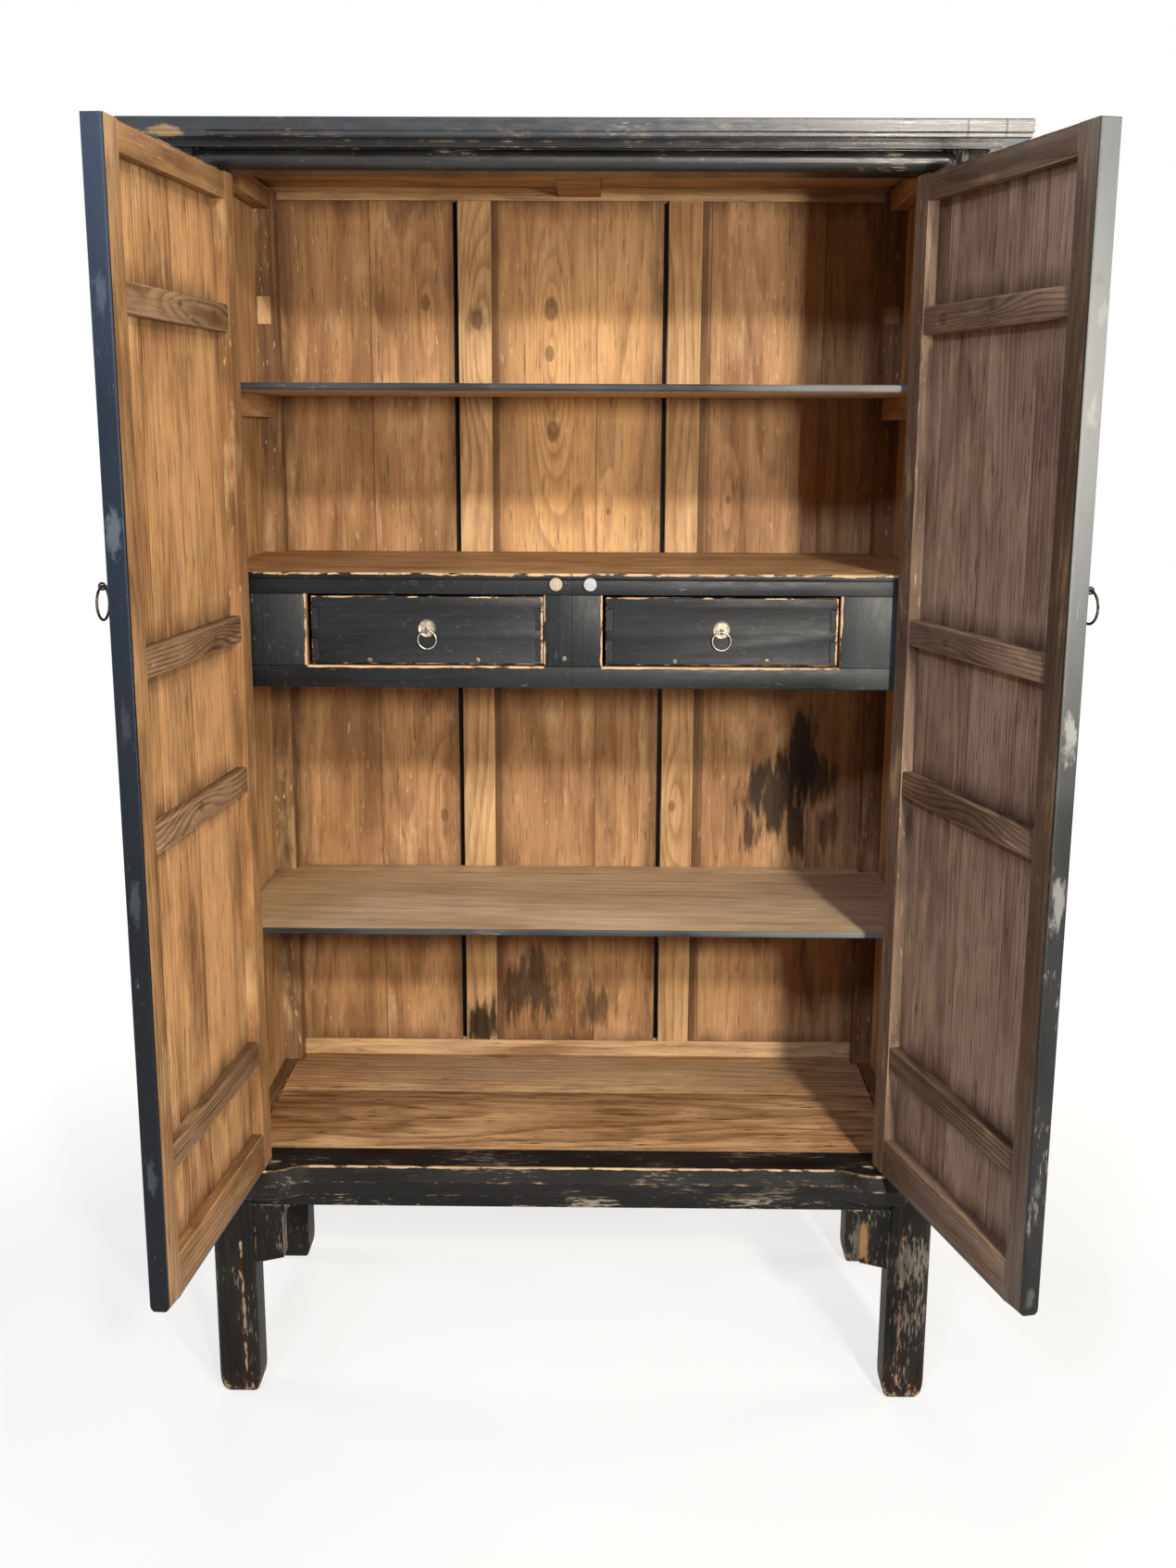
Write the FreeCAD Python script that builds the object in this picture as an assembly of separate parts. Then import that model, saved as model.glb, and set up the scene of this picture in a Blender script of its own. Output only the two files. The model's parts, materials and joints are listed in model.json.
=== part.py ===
import FreeCAD, Part
import math
import os

# A tall two-door cabinet in black lacquer, doors hung on wooden pintles, with two inner drawers.
# Millimetres. X runs to the right, Y to the back and Z up, from the floor midway between the posts.
# Depths in this file are measured back from the front faces of the posts.

V = FreeCAD.Vector
os.makedirs("parts", exist_ok=True)

# Carcass
overall_height = 1850.0
carcass_width = 1090.0
carcass_depth = 498.0
post_width = 64.0
post_depth = 54.0
post_corner_radius = 12.0
post_bead_radius = 6.0
reed_pitch = 10.0
reed_count = 2
reed_groove_width = 3.0
reed_groove_depth = 2.0
foot_round = 7.0
floor_level = 383.0
groove_depth = 9.0
groove_play = 1.0
board_play = 1.0
edge_tolerance = 0.01

# Cornice cap
cornice_overhang = 45.0
cornice_thickness = 24.0
cornice_member_width = 95.0
cornice_lower_band = 8.0
cornice_band_step = 2.0
cornice_arris = 1.5
bed_height = 8.0
bed_projection = 12.0
top_panel_thickness = 12.0
top_batten_width = 66.0
top_batten_drop = 14.0

# Front rails, apron and brackets
head_rail_drop = 36.0
head_rail_depth = 50.0
head_round_height = 27.0
rail_lap = 20.0
lower_rail_height = 46.0
lower_rail_depth = 66.0
lower_rail_setback = -1.0
ridge_projection = 15.0
ridge_drop = 19.0
nose_bottom_projection = 3.0
nose_depth = 30.0
swell = 21.0
swell_end = 26.0
swell_run = 65.0
lap_round = 16.0
trim_margin = 1.0
seat_ledge = 14.0
apron_height = 21.0
apron_setback = 4.0
apron_thickness = 16.0
bracket_height = 96.0
bracket_width = 44.0
bracket_thickness = 26.0
bracket_rise = 9.0
bracket_corner = 3.0
bracket_cove = 20.0

# Sides and back
side_rail_inset = 10.0
side_rail_thickness = 50.0
side_top_rail_height = 30.0
side_floor_rebate = 6.0
side_panel_inset = 22.0
side_panel_thickness = 10.0
back_frame_thickness = 25.0
back_top_rail_height = 13.0
back_bottom_rail_height = 73.0
muntin_width = 53.0
muntin_spacing = 336.0
muntin_flange = 14.0
back_panel_thickness = 8.0
back_panel_setback = 7.0
shrink_gap = 8.0

# Floor, shelves and bearers
floor_thickness = 12.0
floor_front_width = 233.0
floor_joint = 1.0
shelf_thickness = 10.0
shelf_nose_radius = 3.0
upper_shelf_drop = 304.0
upper_shelf_front = 34.0
lower_shelf_level = 729.0
lower_shelf_front = 84.0
bearer_height = 34.0

# Drawer unit and drawers
unit_front = 31.0
unit_thickness = 20.0
second_compartment_height = 247.5
unit_bottom_rail = 31.0
opening_height = 101.0
unit_stile_width = 104.5
centre_stile_width = 83.0
unit_top_rail = 21.0
deck_thickness = 9.0
dust_board_thickness = 12.0
guide_width = 20.0
guide_height = 20.0
divider_thickness = 12.0
drawer_end_gap = 8.6
drawer_front_rise = 2.7
drawer_top_gap = 3.0
drawer_front_thickness = 18.0
drawer_back_gap = 42.0
drawer_side_thickness = 10.0
drawer_side_height = 88.0
drawer_back_height = 78.0
drawer_bottom_thickness = 6.0
drawer_bottom_rise = 6.0
drawer_groove = 5.0
tail_count = 2
tail_neck = 24.0
tail_flare = 3.0
drawer_shift_left = 3.0
drawer_shift_right = 0.5
slide_clearance = 0.3
pad_diameter = 18.5
pad_thickness = 6.0
pad_spacing = 48.0
pad_drop = 15.0

# Doors
door_thickness = 25.0
door_side_gap = 4.0
door_meeting_gap = 2.0
door_top_gap = 3.0
door_bottom_gap = 4.0
pivot_depth = 12.0
pintle_radius = 8.0
pintle_clearance = 0.05
socket_depth = 16.0
pintle_top_entry = 12.0
pintle_seat_gap = 0.3
hinge_stile_width = 48.0
free_stile_width = 46.0
free_stile_round = 3.0
door_top_rail = 34.0
door_bottom_rail = 56.0
tenon_length = 24.0
tenon_thickness = 9.0
tenon_shoulder = 9.0
door_panel_recess = 1.0
door_panel_thickness = 7.0
door_tongue_thickness = 4.0
batten_top_offset = 184.5
batten_bottom_offset = 182.5
batten_middle_spacing = 212.5
batten_middle_drop = 2.25
batten_height = 36.0
batten_drop = 2.0
batten_chamfer = 2.0
dovetail_depth = 3.0
dovetail_neck = 20.0
dovetail_flare = 2.5
open_angle = {"left": 94.7, "right": 104.5}

# Ring pulls
door_pull_rise = 897.0
door_plate_radius = 14.0
door_plate_thickness = 1.6
door_eye_reach = 14.0
door_eye_radius = 3.6
door_eye_wire = 1.4
door_eye_drop = 0.0
door_ring_radius = 19.0
door_ring_wire = 1.6
drawer_pull_rise = 53.2
drawer_plate_radius = 12.5
drawer_plate_thickness = 1.4
drawer_eye_reach = 3.6
drawer_eye_radius = 2.9
drawer_eye_wire = 1.1
drawer_eye_drop = 2.9
drawer_ring_radius = 12.9
drawer_ring_wire = 1.4

# Places worked out from the sizes above
y_front = -carcass_depth / 2
half_width = carcass_width / 2
inner_x = half_width - post_width
rear_post_front = carcass_depth - post_depth
cornice_bottom = overall_height - cornice_thickness
head_bottom = cornice_bottom - head_rail_drop
rail_bottom = floor_level - lower_rail_height
apron_bottom = rail_bottom - apron_height
back_face = carcass_depth - back_frame_thickness
back_panel_front = back_face + back_panel_setback
back_panel_back = back_panel_front + back_panel_thickness
panel_outer_x = half_width - side_panel_inset
panel_inner_x = panel_outer_x - side_panel_thickness
side_rail_outer = half_width - side_rail_inset
side_rail_inner = side_rail_outer - side_rail_thickness
rebate_x = side_rail_inner + side_floor_rebate
seat_x = rebate_x - seat_ledge
floor_bottom = floor_level - floor_thickness
top_panel_bottom = cornice_bottom + (cornice_thickness - top_panel_thickness) / 2
cornice_half = half_width + cornice_overhang
cornice_inner_x = cornice_half - cornice_member_width
cornice_inner_y = cornice_member_width - cornice_overhang
upper_shelf_level = cornice_bottom - upper_shelf_drop
unit_top_level = upper_shelf_level - shelf_thickness - second_compartment_height
opening_bottom = unit_top_level - deck_thickness - unit_top_rail - opening_height
opening_top = opening_bottom + opening_height
unit_bottom = opening_bottom - unit_bottom_rail
unit_back = unit_front + unit_thickness
opening_inner_x = centre_stile_width / 2
opening_outer_x = inner_x - unit_stile_width
pivot_x = inner_x - door_side_gap - door_thickness / 2
door_front = pivot_depth - door_thickness / 2
door_back = pivot_depth + door_thickness / 2
door_bottom = floor_level + door_bottom_gap
door_top = head_bottom - door_top_gap
door_pull_level = door_bottom + door_pull_rise
drawer_pull_level = opening_bottom + drawer_pull_rise


def at(x, depth, z):
    return V(x, y_front + depth, z)


def block(x0, x1, d0, d1, z0, z1):
    return Part.makeBox(x1 - x0, d1 - d0, z1 - z0, at(x0, d0, z0))


def prism(points, travel):
    face = Part.Face(Part.makePolygon(points + points[:1]))
    return face.extrude(travel)


def outline_prism(edges, travel):
    return Part.Face(Part.Wire(edges)).extrude(travel)


def plan_prism(points, z0, z1):
    return prism([at(x, depth, z0) for x, depth in points], V(0, 0, z1 - z0))


def section_prism(points, x0, x1):
    return prism([at(x0, depth, z) for depth, z in points], V(x1 - x0, 0, 0))


def line(a, b):
    return Part.LineSegment(a, b).toShape()


def arc(a, middle, b):
    return Part.Arc(a, middle, b).toShape()


def mirrored(shape):
    return shape.mirror(V(0, 0, 0), V(1, 0, 0))


def both_sides(shape):
    return [mirrored(shape), shape]


def save(node, *solids):
    shape = solids[0] if len(solids) == 1 else Part.makeCompound(list(solids))
    shape.exportStep("parts/" + node + ".step")


# Posts: rounded outer corner, rounded feet, grooves for the side and back panels
def post_blank(d0, d1, corner_depth):
    blank = block(inner_x, half_width, d0, d1, 0, cornice_bottom)
    corner = [e for e in blank.Edges if is_upright(e, half_width, corner_depth)]
    blank = blank.makeFillet(post_corner_radius, corner)
    foot = [e for e in blank.Edges if e.BoundBox.ZMax < foot_round / 2]
    return blank.makeFillet(foot_round, foot)


def is_upright(edge, x, depth):
    box = edge.BoundBox
    near = abs(box.XMin - x) + abs(box.XMax - x) + 2 * abs(box.Center.y - y_front - depth)
    return near < edge_tolerance and box.ZLength > post_width


def side_panel_groove(d0, d1):
    return block(panel_inner_x, panel_outer_x, d0, d1, rail_bottom, cornice_bottom)


def reeds(post):
    for k in range(1, reed_count + 1):
        x = inner_x + reed_pitch * k
        half = reed_groove_width / 2
        notch = [(x - half, 0), (x, reed_groove_depth), (x + half, 0)]
        post = post.cut(plan_prism(notch, 0, cornice_bottom))
    return post


front_post = post_blank(0, post_depth, 0)
bead = [e for e in front_post.Edges if is_upright(e, inner_x, 0)]
front_post = reeds(front_post.makeFillet(post_bead_radius, bead))
front_post = front_post.cut(side_panel_groove(post_depth - groove_depth, post_depth))
rear_post = post_blank(rear_post_front, carcass_depth, carcass_depth)
rear_post = rear_post.cut(side_panel_groove(rear_post_front, rear_post_front + groove_depth))
rear_post = rear_post.cut(block(inner_x, inner_x + groove_depth, back_panel_front, back_panel_back,
                                rail_bottom, cornice_bottom))
for side, turn in (("left", mirrored), ("right", lambda shape: shape)):
    save("post_front_" + side, turn(front_post))
    save("post_rear_" + side, turn(rear_post))


# Head rail: half-round face with rounded ends that lap the posts, and a blind socket for each pintle
def socket(z0):
    radius = pintle_radius + pintle_clearance
    return both_sides(Part.makeCylinder(radius, socket_depth, at(pivot_x, pivot_depth, z0)))


head_round = head_round_height / 2
head_end = inner_x + rail_lap - head_round
head_axis = head_bottom + head_round
head_bar = Part.makeCylinder(head_round, 2 * head_end, at(-head_end, 0, head_axis), V(1, 0, 0))
head_bar = head_bar.multiFuse([Part.makeSphere(head_round, at(s * head_end, 0, head_axis)) for s in (-1, 1)])
head_bar = head_bar.common(block(-half_width, half_width, -head_round_height, 0, head_bottom, cornice_bottom))
head_rail = block(-inner_x, inner_x, 0, head_rail_depth, head_bottom, cornice_bottom).fuse(head_bar)
save("head_rail", head_rail.removeSplitter().cut(socket(head_bottom)))


# Lower rail: a sword-ridge nose swept along a line that swells forward where the door sockets are
def swell_arcs(x0, depth0, x1, depth1):
    run = x1 - x0
    rise = depth1 - depth0
    radius = (run * run + rise * rise) / (4 * abs(rise))
    half_turn = math.asin(run / 2 / radius) / 2
    step_x = radius * math.sin(half_turn)
    step_d = math.copysign(radius * (1 - math.cos(half_turn)), rise)
    middle = at((x0 + x1) / 2, (depth0 + depth1) / 2, floor_level)
    first = arc(at(x0, depth0, floor_level), at(x0 + step_x, depth0 + step_d, floor_level), middle)
    second = arc(middle, at(x1 - step_x, depth1 - step_d, floor_level), at(x1, depth1, floor_level))
    return [first, second]


lap_end = inner_x + rail_lap
swell_outer = inner_x - swell_end
swell_inner = swell_outer - swell_run
end_depth = lower_rail_setback - swell
nose_path = [line(at(-lap_end, end_depth, floor_level), at(-swell_outer, end_depth, floor_level))]
nose_path += swell_arcs(-swell_outer, end_depth, -swell_inner, lower_rail_setback)
nose_path += [line(at(-swell_inner, lower_rail_setback, floor_level),
                   at(swell_inner, lower_rail_setback, floor_level))]
nose_path += swell_arcs(swell_inner, lower_rail_setback, swell_outer, end_depth)
nose_path += [line(at(swell_outer, end_depth, floor_level), at(lap_end, end_depth, floor_level))]
nose_section = [(end_depth, floor_level), (end_depth - ridge_projection, floor_level - ridge_drop),
                (end_depth - nose_bottom_projection, rail_bottom), (end_depth + nose_depth, rail_bottom),
                (end_depth + nose_depth, floor_level)]
nose_wire = Part.makePolygon([at(-lap_end, d, z) for d, z in nose_section + nose_section[:1]])
nose = Part.Wire(nose_path).makePipeShell([nose_wire], True, False)
nose_front = end_depth - ridge_projection - trim_margin
round_start = nose_front + lap_round
corner_cut = lap_round * (1 - math.sqrt(0.5))
lap_plan = [line(at(-lap_end, carcass_depth, rail_bottom), at(-lap_end, round_start, rail_bottom)),
            arc(at(-lap_end, round_start, rail_bottom),
                at(-lap_end + corner_cut, nose_front + corner_cut, rail_bottom),
                at(-lap_end + lap_round, nose_front, rail_bottom)),
            line(at(-lap_end + lap_round, nose_front, rail_bottom), at(lap_end - lap_round, nose_front, rail_bottom)),
            arc(at(lap_end - lap_round, nose_front, rail_bottom),
                at(lap_end - corner_cut, nose_front + corner_cut, rail_bottom),
                at(lap_end, round_start, rail_bottom)),
            line(at(lap_end, round_start, rail_bottom), at(lap_end, carcass_depth, rail_bottom)),
            line(at(lap_end, carcass_depth, rail_bottom), at(-lap_end, carcass_depth, rail_bottom))]
nose = nose.common(outline_prism(lap_plan, V(0, 0, lower_rail_height)))
nose = nose.cut(both_sides(block(inner_x, half_width, 0, post_depth, rail_bottom, floor_level)))
rail_body_front = lower_rail_setback + nose_depth / 2
lower_rail = block(-inner_x, inner_x, rail_body_front, lower_rail_depth, rail_bottom, floor_level)
rail_ledge = block(-seat_x, seat_x, lower_rail_depth, lower_rail_depth + seat_ledge, rail_bottom, floor_bottom)
lower_rail = lower_rail.multiFuse([rail_ledge, nose]).removeSplitter()
save("lower_rail", lower_rail.cut(socket(floor_level - socket_depth)))

# Apron under the lower rail, and a coved bracket in each corner under the apron
apron_back = apron_setback + apron_thickness
save("apron", block(-inner_x, inner_x, apron_setback, apron_back, apron_bottom, rail_bottom))


def bracket():
    d = apron_setback
    top = apron_bottom
    foot = top - bracket_height
    tip = inner_x - bracket_width
    diagonal = math.sqrt(0.5)
    cove_x = tip - bracket_cove * (1 - diagonal)
    cove_z = top - bracket_cove * (1 - diagonal)
    corner_in = bracket_corner * (1 - diagonal)
    edges = [line(at(inner_x, d, top), at(inner_x, d, foot)),
             line(at(inner_x, d, foot), at(tip + bracket_corner, d, foot + bracket_rise)),
             arc(at(tip + bracket_corner, d, foot + bracket_rise),
                 at(tip + corner_in, d, foot + bracket_rise + corner_in),
                 at(tip, d, foot + bracket_rise + bracket_corner)),
             line(at(tip, d, foot + bracket_rise + bracket_corner), at(tip, d, top - bracket_cove)),
             arc(at(tip, d, top - bracket_cove), at(cove_x, d, cove_z), at(tip - bracket_cove, d, top)),
             line(at(tip - bracket_cove, d, top), at(inner_x, d, top))]
    return outline_prism(edges, V(0, bracket_thickness, 0))


save("brackets", *both_sides(bracket()))

# Cornice cap: moulded front and side members mitred together, a plain back member and a floating panel
cornice_profile = [(cornice_arris, overall_height), (0, overall_height - cornice_arris),
                   (0, cornice_bottom + cornice_lower_band),
                   (cornice_band_step, cornice_bottom + cornice_lower_band - cornice_band_step),
                   (cornice_band_step, cornice_bottom + cornice_band_step),
                   (2 * cornice_band_step, cornice_bottom),
                   (cornice_member_width, cornice_bottom), (cornice_member_width, overall_height)]
top_panel_top = top_panel_bottom + top_panel_thickness
panel_well = block(-cornice_inner_x - groove_depth, cornice_inner_x + groove_depth, cornice_inner_y - groove_depth,
                   back_face + groove_depth, top_panel_bottom, top_panel_top)
front_plan = [(-cornice_half, -cornice_overhang), (cornice_half, -cornice_overhang),
              (cornice_inner_x, cornice_inner_y), (-cornice_inner_x, cornice_inner_y)]
front_member = section_prism([(d - cornice_overhang, z) for d, z in cornice_profile], -cornice_half, cornice_half)
front_member = front_member.common(plan_prism(front_plan, cornice_bottom, overall_height))
save("cornice_front", front_member.cut(panel_well))
side_plan = [(cornice_half, -cornice_overhang), (cornice_half, carcass_depth), (cornice_inner_x, carcass_depth),
             (cornice_inner_x, cornice_inner_y)]
side_profile = [at(cornice_half - d, -cornice_overhang, z) for d, z in cornice_profile]
side_member = prism(side_profile, V(0, carcass_depth + cornice_overhang, 0))
side_member = side_member.common(plan_prism(side_plan, cornice_bottom, overall_height)).cut(panel_well)
save("cornice_sides", *both_sides(side_member))
back_member = block(-cornice_inner_x, cornice_inner_x, back_face, carcass_depth, cornice_bottom, overall_height)
save("cornice_back", back_member.cut(panel_well))
panel_reach = groove_depth - groove_play
save("top_panel", block(-cornice_inner_x - panel_reach, cornice_inner_x + panel_reach, cornice_inner_y - panel_reach,
                        back_face + panel_reach, top_panel_bottom, top_panel_top))
save("top_batten", block(-top_batten_width / 2, top_batten_width / 2, cornice_inner_y, back_face,
                         top_panel_bottom - top_batten_drop, top_panel_bottom))

# Bed moulding: strips mitred round the front and sides under the cornice
bed_half = half_width + bed_projection
bed_bottom = cornice_bottom - bed_height
bed_front = plan_prism([(-bed_half, -bed_projection), (bed_half, -bed_projection), (half_width, 0),
                        (-half_width, 0)], bed_bottom, cornice_bottom)
bed_side = plan_prism([(bed_half, -bed_projection), (bed_half, carcass_depth), (half_width, carcass_depth),
                       (half_width, 0)], bed_bottom, cornice_bottom)
save("bed_moulding", bed_front, *both_sides(bed_side))

# Side frames: rails between the posts with a panel in grooves
top_rail_bottom = cornice_bottom - side_top_rail_height
side_top_rail = block(side_rail_inner, side_rail_outer, post_depth, rear_post_front, top_rail_bottom, cornice_bottom)
side_top_rail = side_top_rail.cut(block(panel_inner_x, panel_outer_x, post_depth, rear_post_front,
                                        top_rail_bottom, top_rail_bottom + groove_depth))
save("side_top_rails", *both_sides(side_top_rail))
side_bottom_rail = block(rebate_x, side_rail_outer, post_depth, rear_post_front, rail_bottom, floor_level)
side_ledge = block(seat_x, rebate_x, lower_rail_depth, rear_post_front, rail_bottom, floor_bottom)
side_bottom_rail = side_bottom_rail.fuse(side_ledge).removeSplitter()
side_bottom_rail = side_bottom_rail.cut(block(panel_inner_x, panel_outer_x, post_depth, rear_post_front,
                                              floor_level - groove_depth, floor_level))
save("side_bottom_rails", *both_sides(side_bottom_rail))
side_panel = block(panel_inner_x, panel_outer_x, post_depth - panel_reach, rear_post_front + panel_reach,
                   floor_level - panel_reach, top_rail_bottom + panel_reach)
save("side_panels", *both_sides(side_panel))

# Back frame: rails, flanged muntins and three panels, two of them shrunk away from the muntin on their right
back_rail_top = rail_bottom + back_bottom_rail_height
back_top_bottom = cornice_bottom - back_top_rail_height
back_top_rail = block(-inner_x, inner_x, back_face, carcass_depth, back_top_bottom, cornice_bottom)
back_top_rail = back_top_rail.cut(block(-inner_x, inner_x, back_panel_front, back_panel_back,
                                        back_top_bottom, back_top_bottom + groove_depth))
save("back_top_rail", back_top_rail)
back_bottom_rail = block(-inner_x, inner_x, back_face, carcass_depth, rail_bottom, back_rail_top)
back_ledge = block(-inner_x, inner_x, back_face - seat_ledge, back_face, rail_bottom, floor_bottom)
back_bottom_rail = back_bottom_rail.fuse(back_ledge).removeSplitter()
back_bottom_rail = back_bottom_rail.cut(block(-inner_x, inner_x, back_panel_front, back_panel_back,
                                              back_rail_top - groove_depth, back_rail_top))
save("back_bottom_rail", back_bottom_rail)
muntin_inner = (muntin_spacing - muntin_width) / 2
muntin_outer = muntin_inner + muntin_width
muntin = block(muntin_inner, muntin_outer, back_face, carcass_depth, back_rail_top, back_top_bottom)
flange = block(muntin_inner - muntin_flange, muntin_outer + muntin_flange, back_panel_back, carcass_depth,
               back_rail_top, back_top_bottom)
save("back_muntins", *both_sides(muntin.fuse(flange).removeSplitter()))
panel_edge = inner_x + panel_reach
panel_spans = [(-panel_edge, -muntin_outer - shrink_gap), (-muntin_inner, muntin_inner - shrink_gap),
               (muntin_outer, panel_edge)]
save("back_panels", *[block(x0, x1, back_panel_front, back_panel_back, back_rail_top - panel_reach,
                            back_top_bottom + panel_reach) for x0, x1 in panel_spans])


# Boards that lie between the posts are notched round them
def notched(board):
    for d0, d1 in ((0, post_depth + board_play), (rear_post_front - board_play, carcass_depth)):
        board = board.cut(both_sides(block(inner_x - board_play, half_width, d0, d1, 0, overall_height)))
    return board


floor_half = rebate_x - board_play
floor_seam = lower_rail_depth + floor_front_width
floor_front = block(-floor_half, floor_half, lower_rail_depth, floor_seam, floor_bottom, floor_level)
floor_rear = block(-floor_half, floor_half, floor_seam + floor_joint, back_face, floor_bottom, floor_level)
save("floor_boards", floor_front, notched(floor_rear))

shelf_half = panel_inner_x - board_play
shelf_back = back_face - board_play


def shelf(level, front):
    board = block(-shelf_half, shelf_half, front, shelf_back, level - shelf_thickness, level)
    nosing = [e for e in board.Edges if abs(e.BoundBox.YMax - y_front - front) < edge_tolerance
              and e.BoundBox.XLength > shelf_half]
    return notched(board.makeFillet(shelf_nose_radius, nosing))


save("upper_shelf", shelf(upper_shelf_level, upper_shelf_front))
save("lower_shelf", shelf(lower_shelf_level, lower_shelf_front))
bearer_tops = (upper_shelf_level - shelf_thickness, unit_top_level - deck_thickness,
               opening_bottom - dust_board_thickness, lower_shelf_level - shelf_thickness)
bearers = []
for top in bearer_tops:
    bearer = block(side_rail_inner, panel_inner_x, post_depth, rear_post_front, top - bearer_height, top)
    bearers += both_sides(bearer)
save("shelf_bearers", *bearers)

# Drawer unit: face frame between the front posts, deck, dust board, guides and divider
deck_bottom = unit_top_level - deck_thickness
save("unit_top_rail", block(-inner_x, inner_x, unit_front, unit_back, opening_top, deck_bottom))
save("unit_bottom_rail", block(-inner_x, inner_x, unit_front, unit_back, unit_bottom, opening_bottom))
unit_stile = block(opening_outer_x, inner_x, unit_front, unit_back, opening_bottom, opening_top)
centre_stile = block(-opening_inner_x, opening_inner_x, unit_front, unit_back, opening_bottom, opening_top)
save("unit_stiles", centre_stile, *both_sides(unit_stile))
save("unit_deck", notched(block(-shelf_half, shelf_half, unit_front, shelf_back, deck_bottom, unit_top_level)))
dust_board = block(-shelf_half, shelf_half, unit_back, shelf_back, opening_bottom - dust_board_thickness,
                   opening_bottom)
save("unit_dust_board", notched(dust_board))
guides = []
for x0 in (opening_inner_x - guide_width, opening_outer_x):
    guides += both_sides(block(x0, x0 + guide_width, unit_back, rear_post_front, opening_bottom,
                               opening_bottom + guide_height))
save("drawer_guides", *guides)
save("drawer_divider", block(-divider_thickness / 2, divider_thickness / 2, unit_back, rear_post_front,
                             opening_bottom, deck_bottom))
pad_place = at(pad_spacing / 2, unit_front - pad_thickness, unit_top_level - pad_drop)
save("stop_pads", *both_sides(Part.makeCylinder(pad_diameter / 2, pad_thickness, pad_place, V(0, 1, 0))))


# Ring pull: dished plate with an eye on a neck, and a ring that hangs in the eye
def pull_plate(x, depth, z, radius, thickness, reach, eye_radius, eye_wire, eye_drop):
    rim = thickness / 2
    half_section = [V(0, 0, 0), V(radius, 0, 0), V(radius, -rim, 0), V(radius - rim, -thickness, 0),
                    V(radius - 2 * thickness, -rim, 0), V(eye_radius, -rim, 0), V(eye_wire, -thickness, 0),
                    V(0, -thickness, 0)]
    face = Part.Face(Part.makePolygon(half_section + half_section[:1]))
    plate = face.revolve(V(0, 0, 0), V(0, 1, 0), 360)
    eye = Part.makeTorus(eye_radius, eye_wire, V(0, -reach, -eye_drop), V(1, 0, 0))
    neck_length = reach - math.sqrt(eye_radius * eye_radius - eye_drop * eye_drop)
    neck = Part.makeCylinder(eye_wire, neck_length, V(0, -neck_length, 0), V(0, 1, 0))
    behind = Part.makeBox(4 * radius, reach, 4 * radius, V(-2 * radius, 0, -2 * radius))
    pull = plate.multiFuse([eye, neck]).cut(behind)
    pull.translate(at(x, depth, z))
    return pull


def pull_ring(x, depth, z, reach, radius, wire):
    return Part.makeTorus(radius, wire, at(x, depth - reach, z - radius), V(0, 1, 0))


# Drawers: sides dovetailed through the front, with grooves that carry the bottom board
def drawer(side, centre):
    half = (opening_outer_x - opening_inner_x - drawer_end_gap) / 2
    inner = half - drawer_side_thickness
    side_bottom = opening_bottom + slide_clearance
    front_bottom = opening_bottom + drawer_front_rise
    back_of_front = unit_front + drawer_front_thickness
    back = back_face - drawer_back_gap
    board_low = side_bottom + drawer_bottom_rise
    board_high = board_low + drawer_bottom_thickness
    groove_half = inner + drawer_groove
    well_front = back_of_front - drawer_groove
    well = block(centre - groove_half, centre + groove_half, well_front, back, board_low, board_high)
    front = block(centre - half, centre + half, unit_front, back_of_front, front_bottom,
                  opening_top - drawer_top_gap)
    neck = tail_neck / 2
    flanks = []
    for x0 in (centre - half, centre + inner):
        x1 = x0 + drawer_side_thickness
        tails = []
        for k in range(tail_count):
            z = side_bottom + drawer_side_height * (k + 0.5) / tail_count
            tails.append(section_prism([(back_of_front, z - neck), (unit_front, z - neck - tail_flare),
                                        (unit_front, z + neck + tail_flare), (back_of_front, z + neck)], x0, x1))
        front = front.cut(tails)
        flank = block(x0, x1, back_of_front, back, side_bottom, side_bottom + drawer_side_height)
        flanks.append(flank.multiFuse(tails).removeSplitter().cut(well))
    tail = block(centre - inner, centre + inner, back - drawer_side_thickness, back, board_high,
                 board_high + drawer_back_height)
    reach = groove_half - groove_play
    bottom = block(centre - reach, centre + reach, well_front + groove_play, back, board_low, board_high)
    name = "drawer_" + side
    save(name + "_front", front.cut(well))
    save(name + "_sides", *flanks)
    save(name + "_back", tail)
    save(name + "_bottom", bottom)
    save(name + "_pull", pull_plate(centre, unit_front, drawer_pull_level, drawer_plate_radius,
                                    drawer_plate_thickness, drawer_eye_reach, drawer_eye_radius,
                                    drawer_eye_wire, drawer_eye_drop))
    save(name + "_ring", pull_ring(centre, unit_front, drawer_pull_level - drawer_eye_drop, drawer_eye_reach,
                                   drawer_ring_radius, drawer_ring_wire))


opening_centre = (opening_inner_x + opening_outer_x) / 2
drawer("left", drawer_shift_left - opening_centre)
drawer("right", drawer_shift_right + opening_centre)

# Doors, drawn shut on the right-hand side: pintle stile, free stile, tenoned rails and a flush panel
hinge_edge = pivot_x + door_thickness / 2
stile_inner = hinge_edge - hinge_stile_width
free_edge = door_meeting_gap / 2
free_inner = free_edge + free_stile_width
opening_low = door_bottom + door_bottom_rail
opening_high = door_top - door_top_rail
panel_front = door_front + door_panel_recess
panel_back = panel_front + door_panel_thickness
tongue_front = panel_back - door_tongue_thickness
panel_grooves = block(free_inner - groove_depth, stile_inner + groove_depth, tongue_front, panel_back,
                      opening_low - groove_depth, opening_high + groove_depth)


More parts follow.
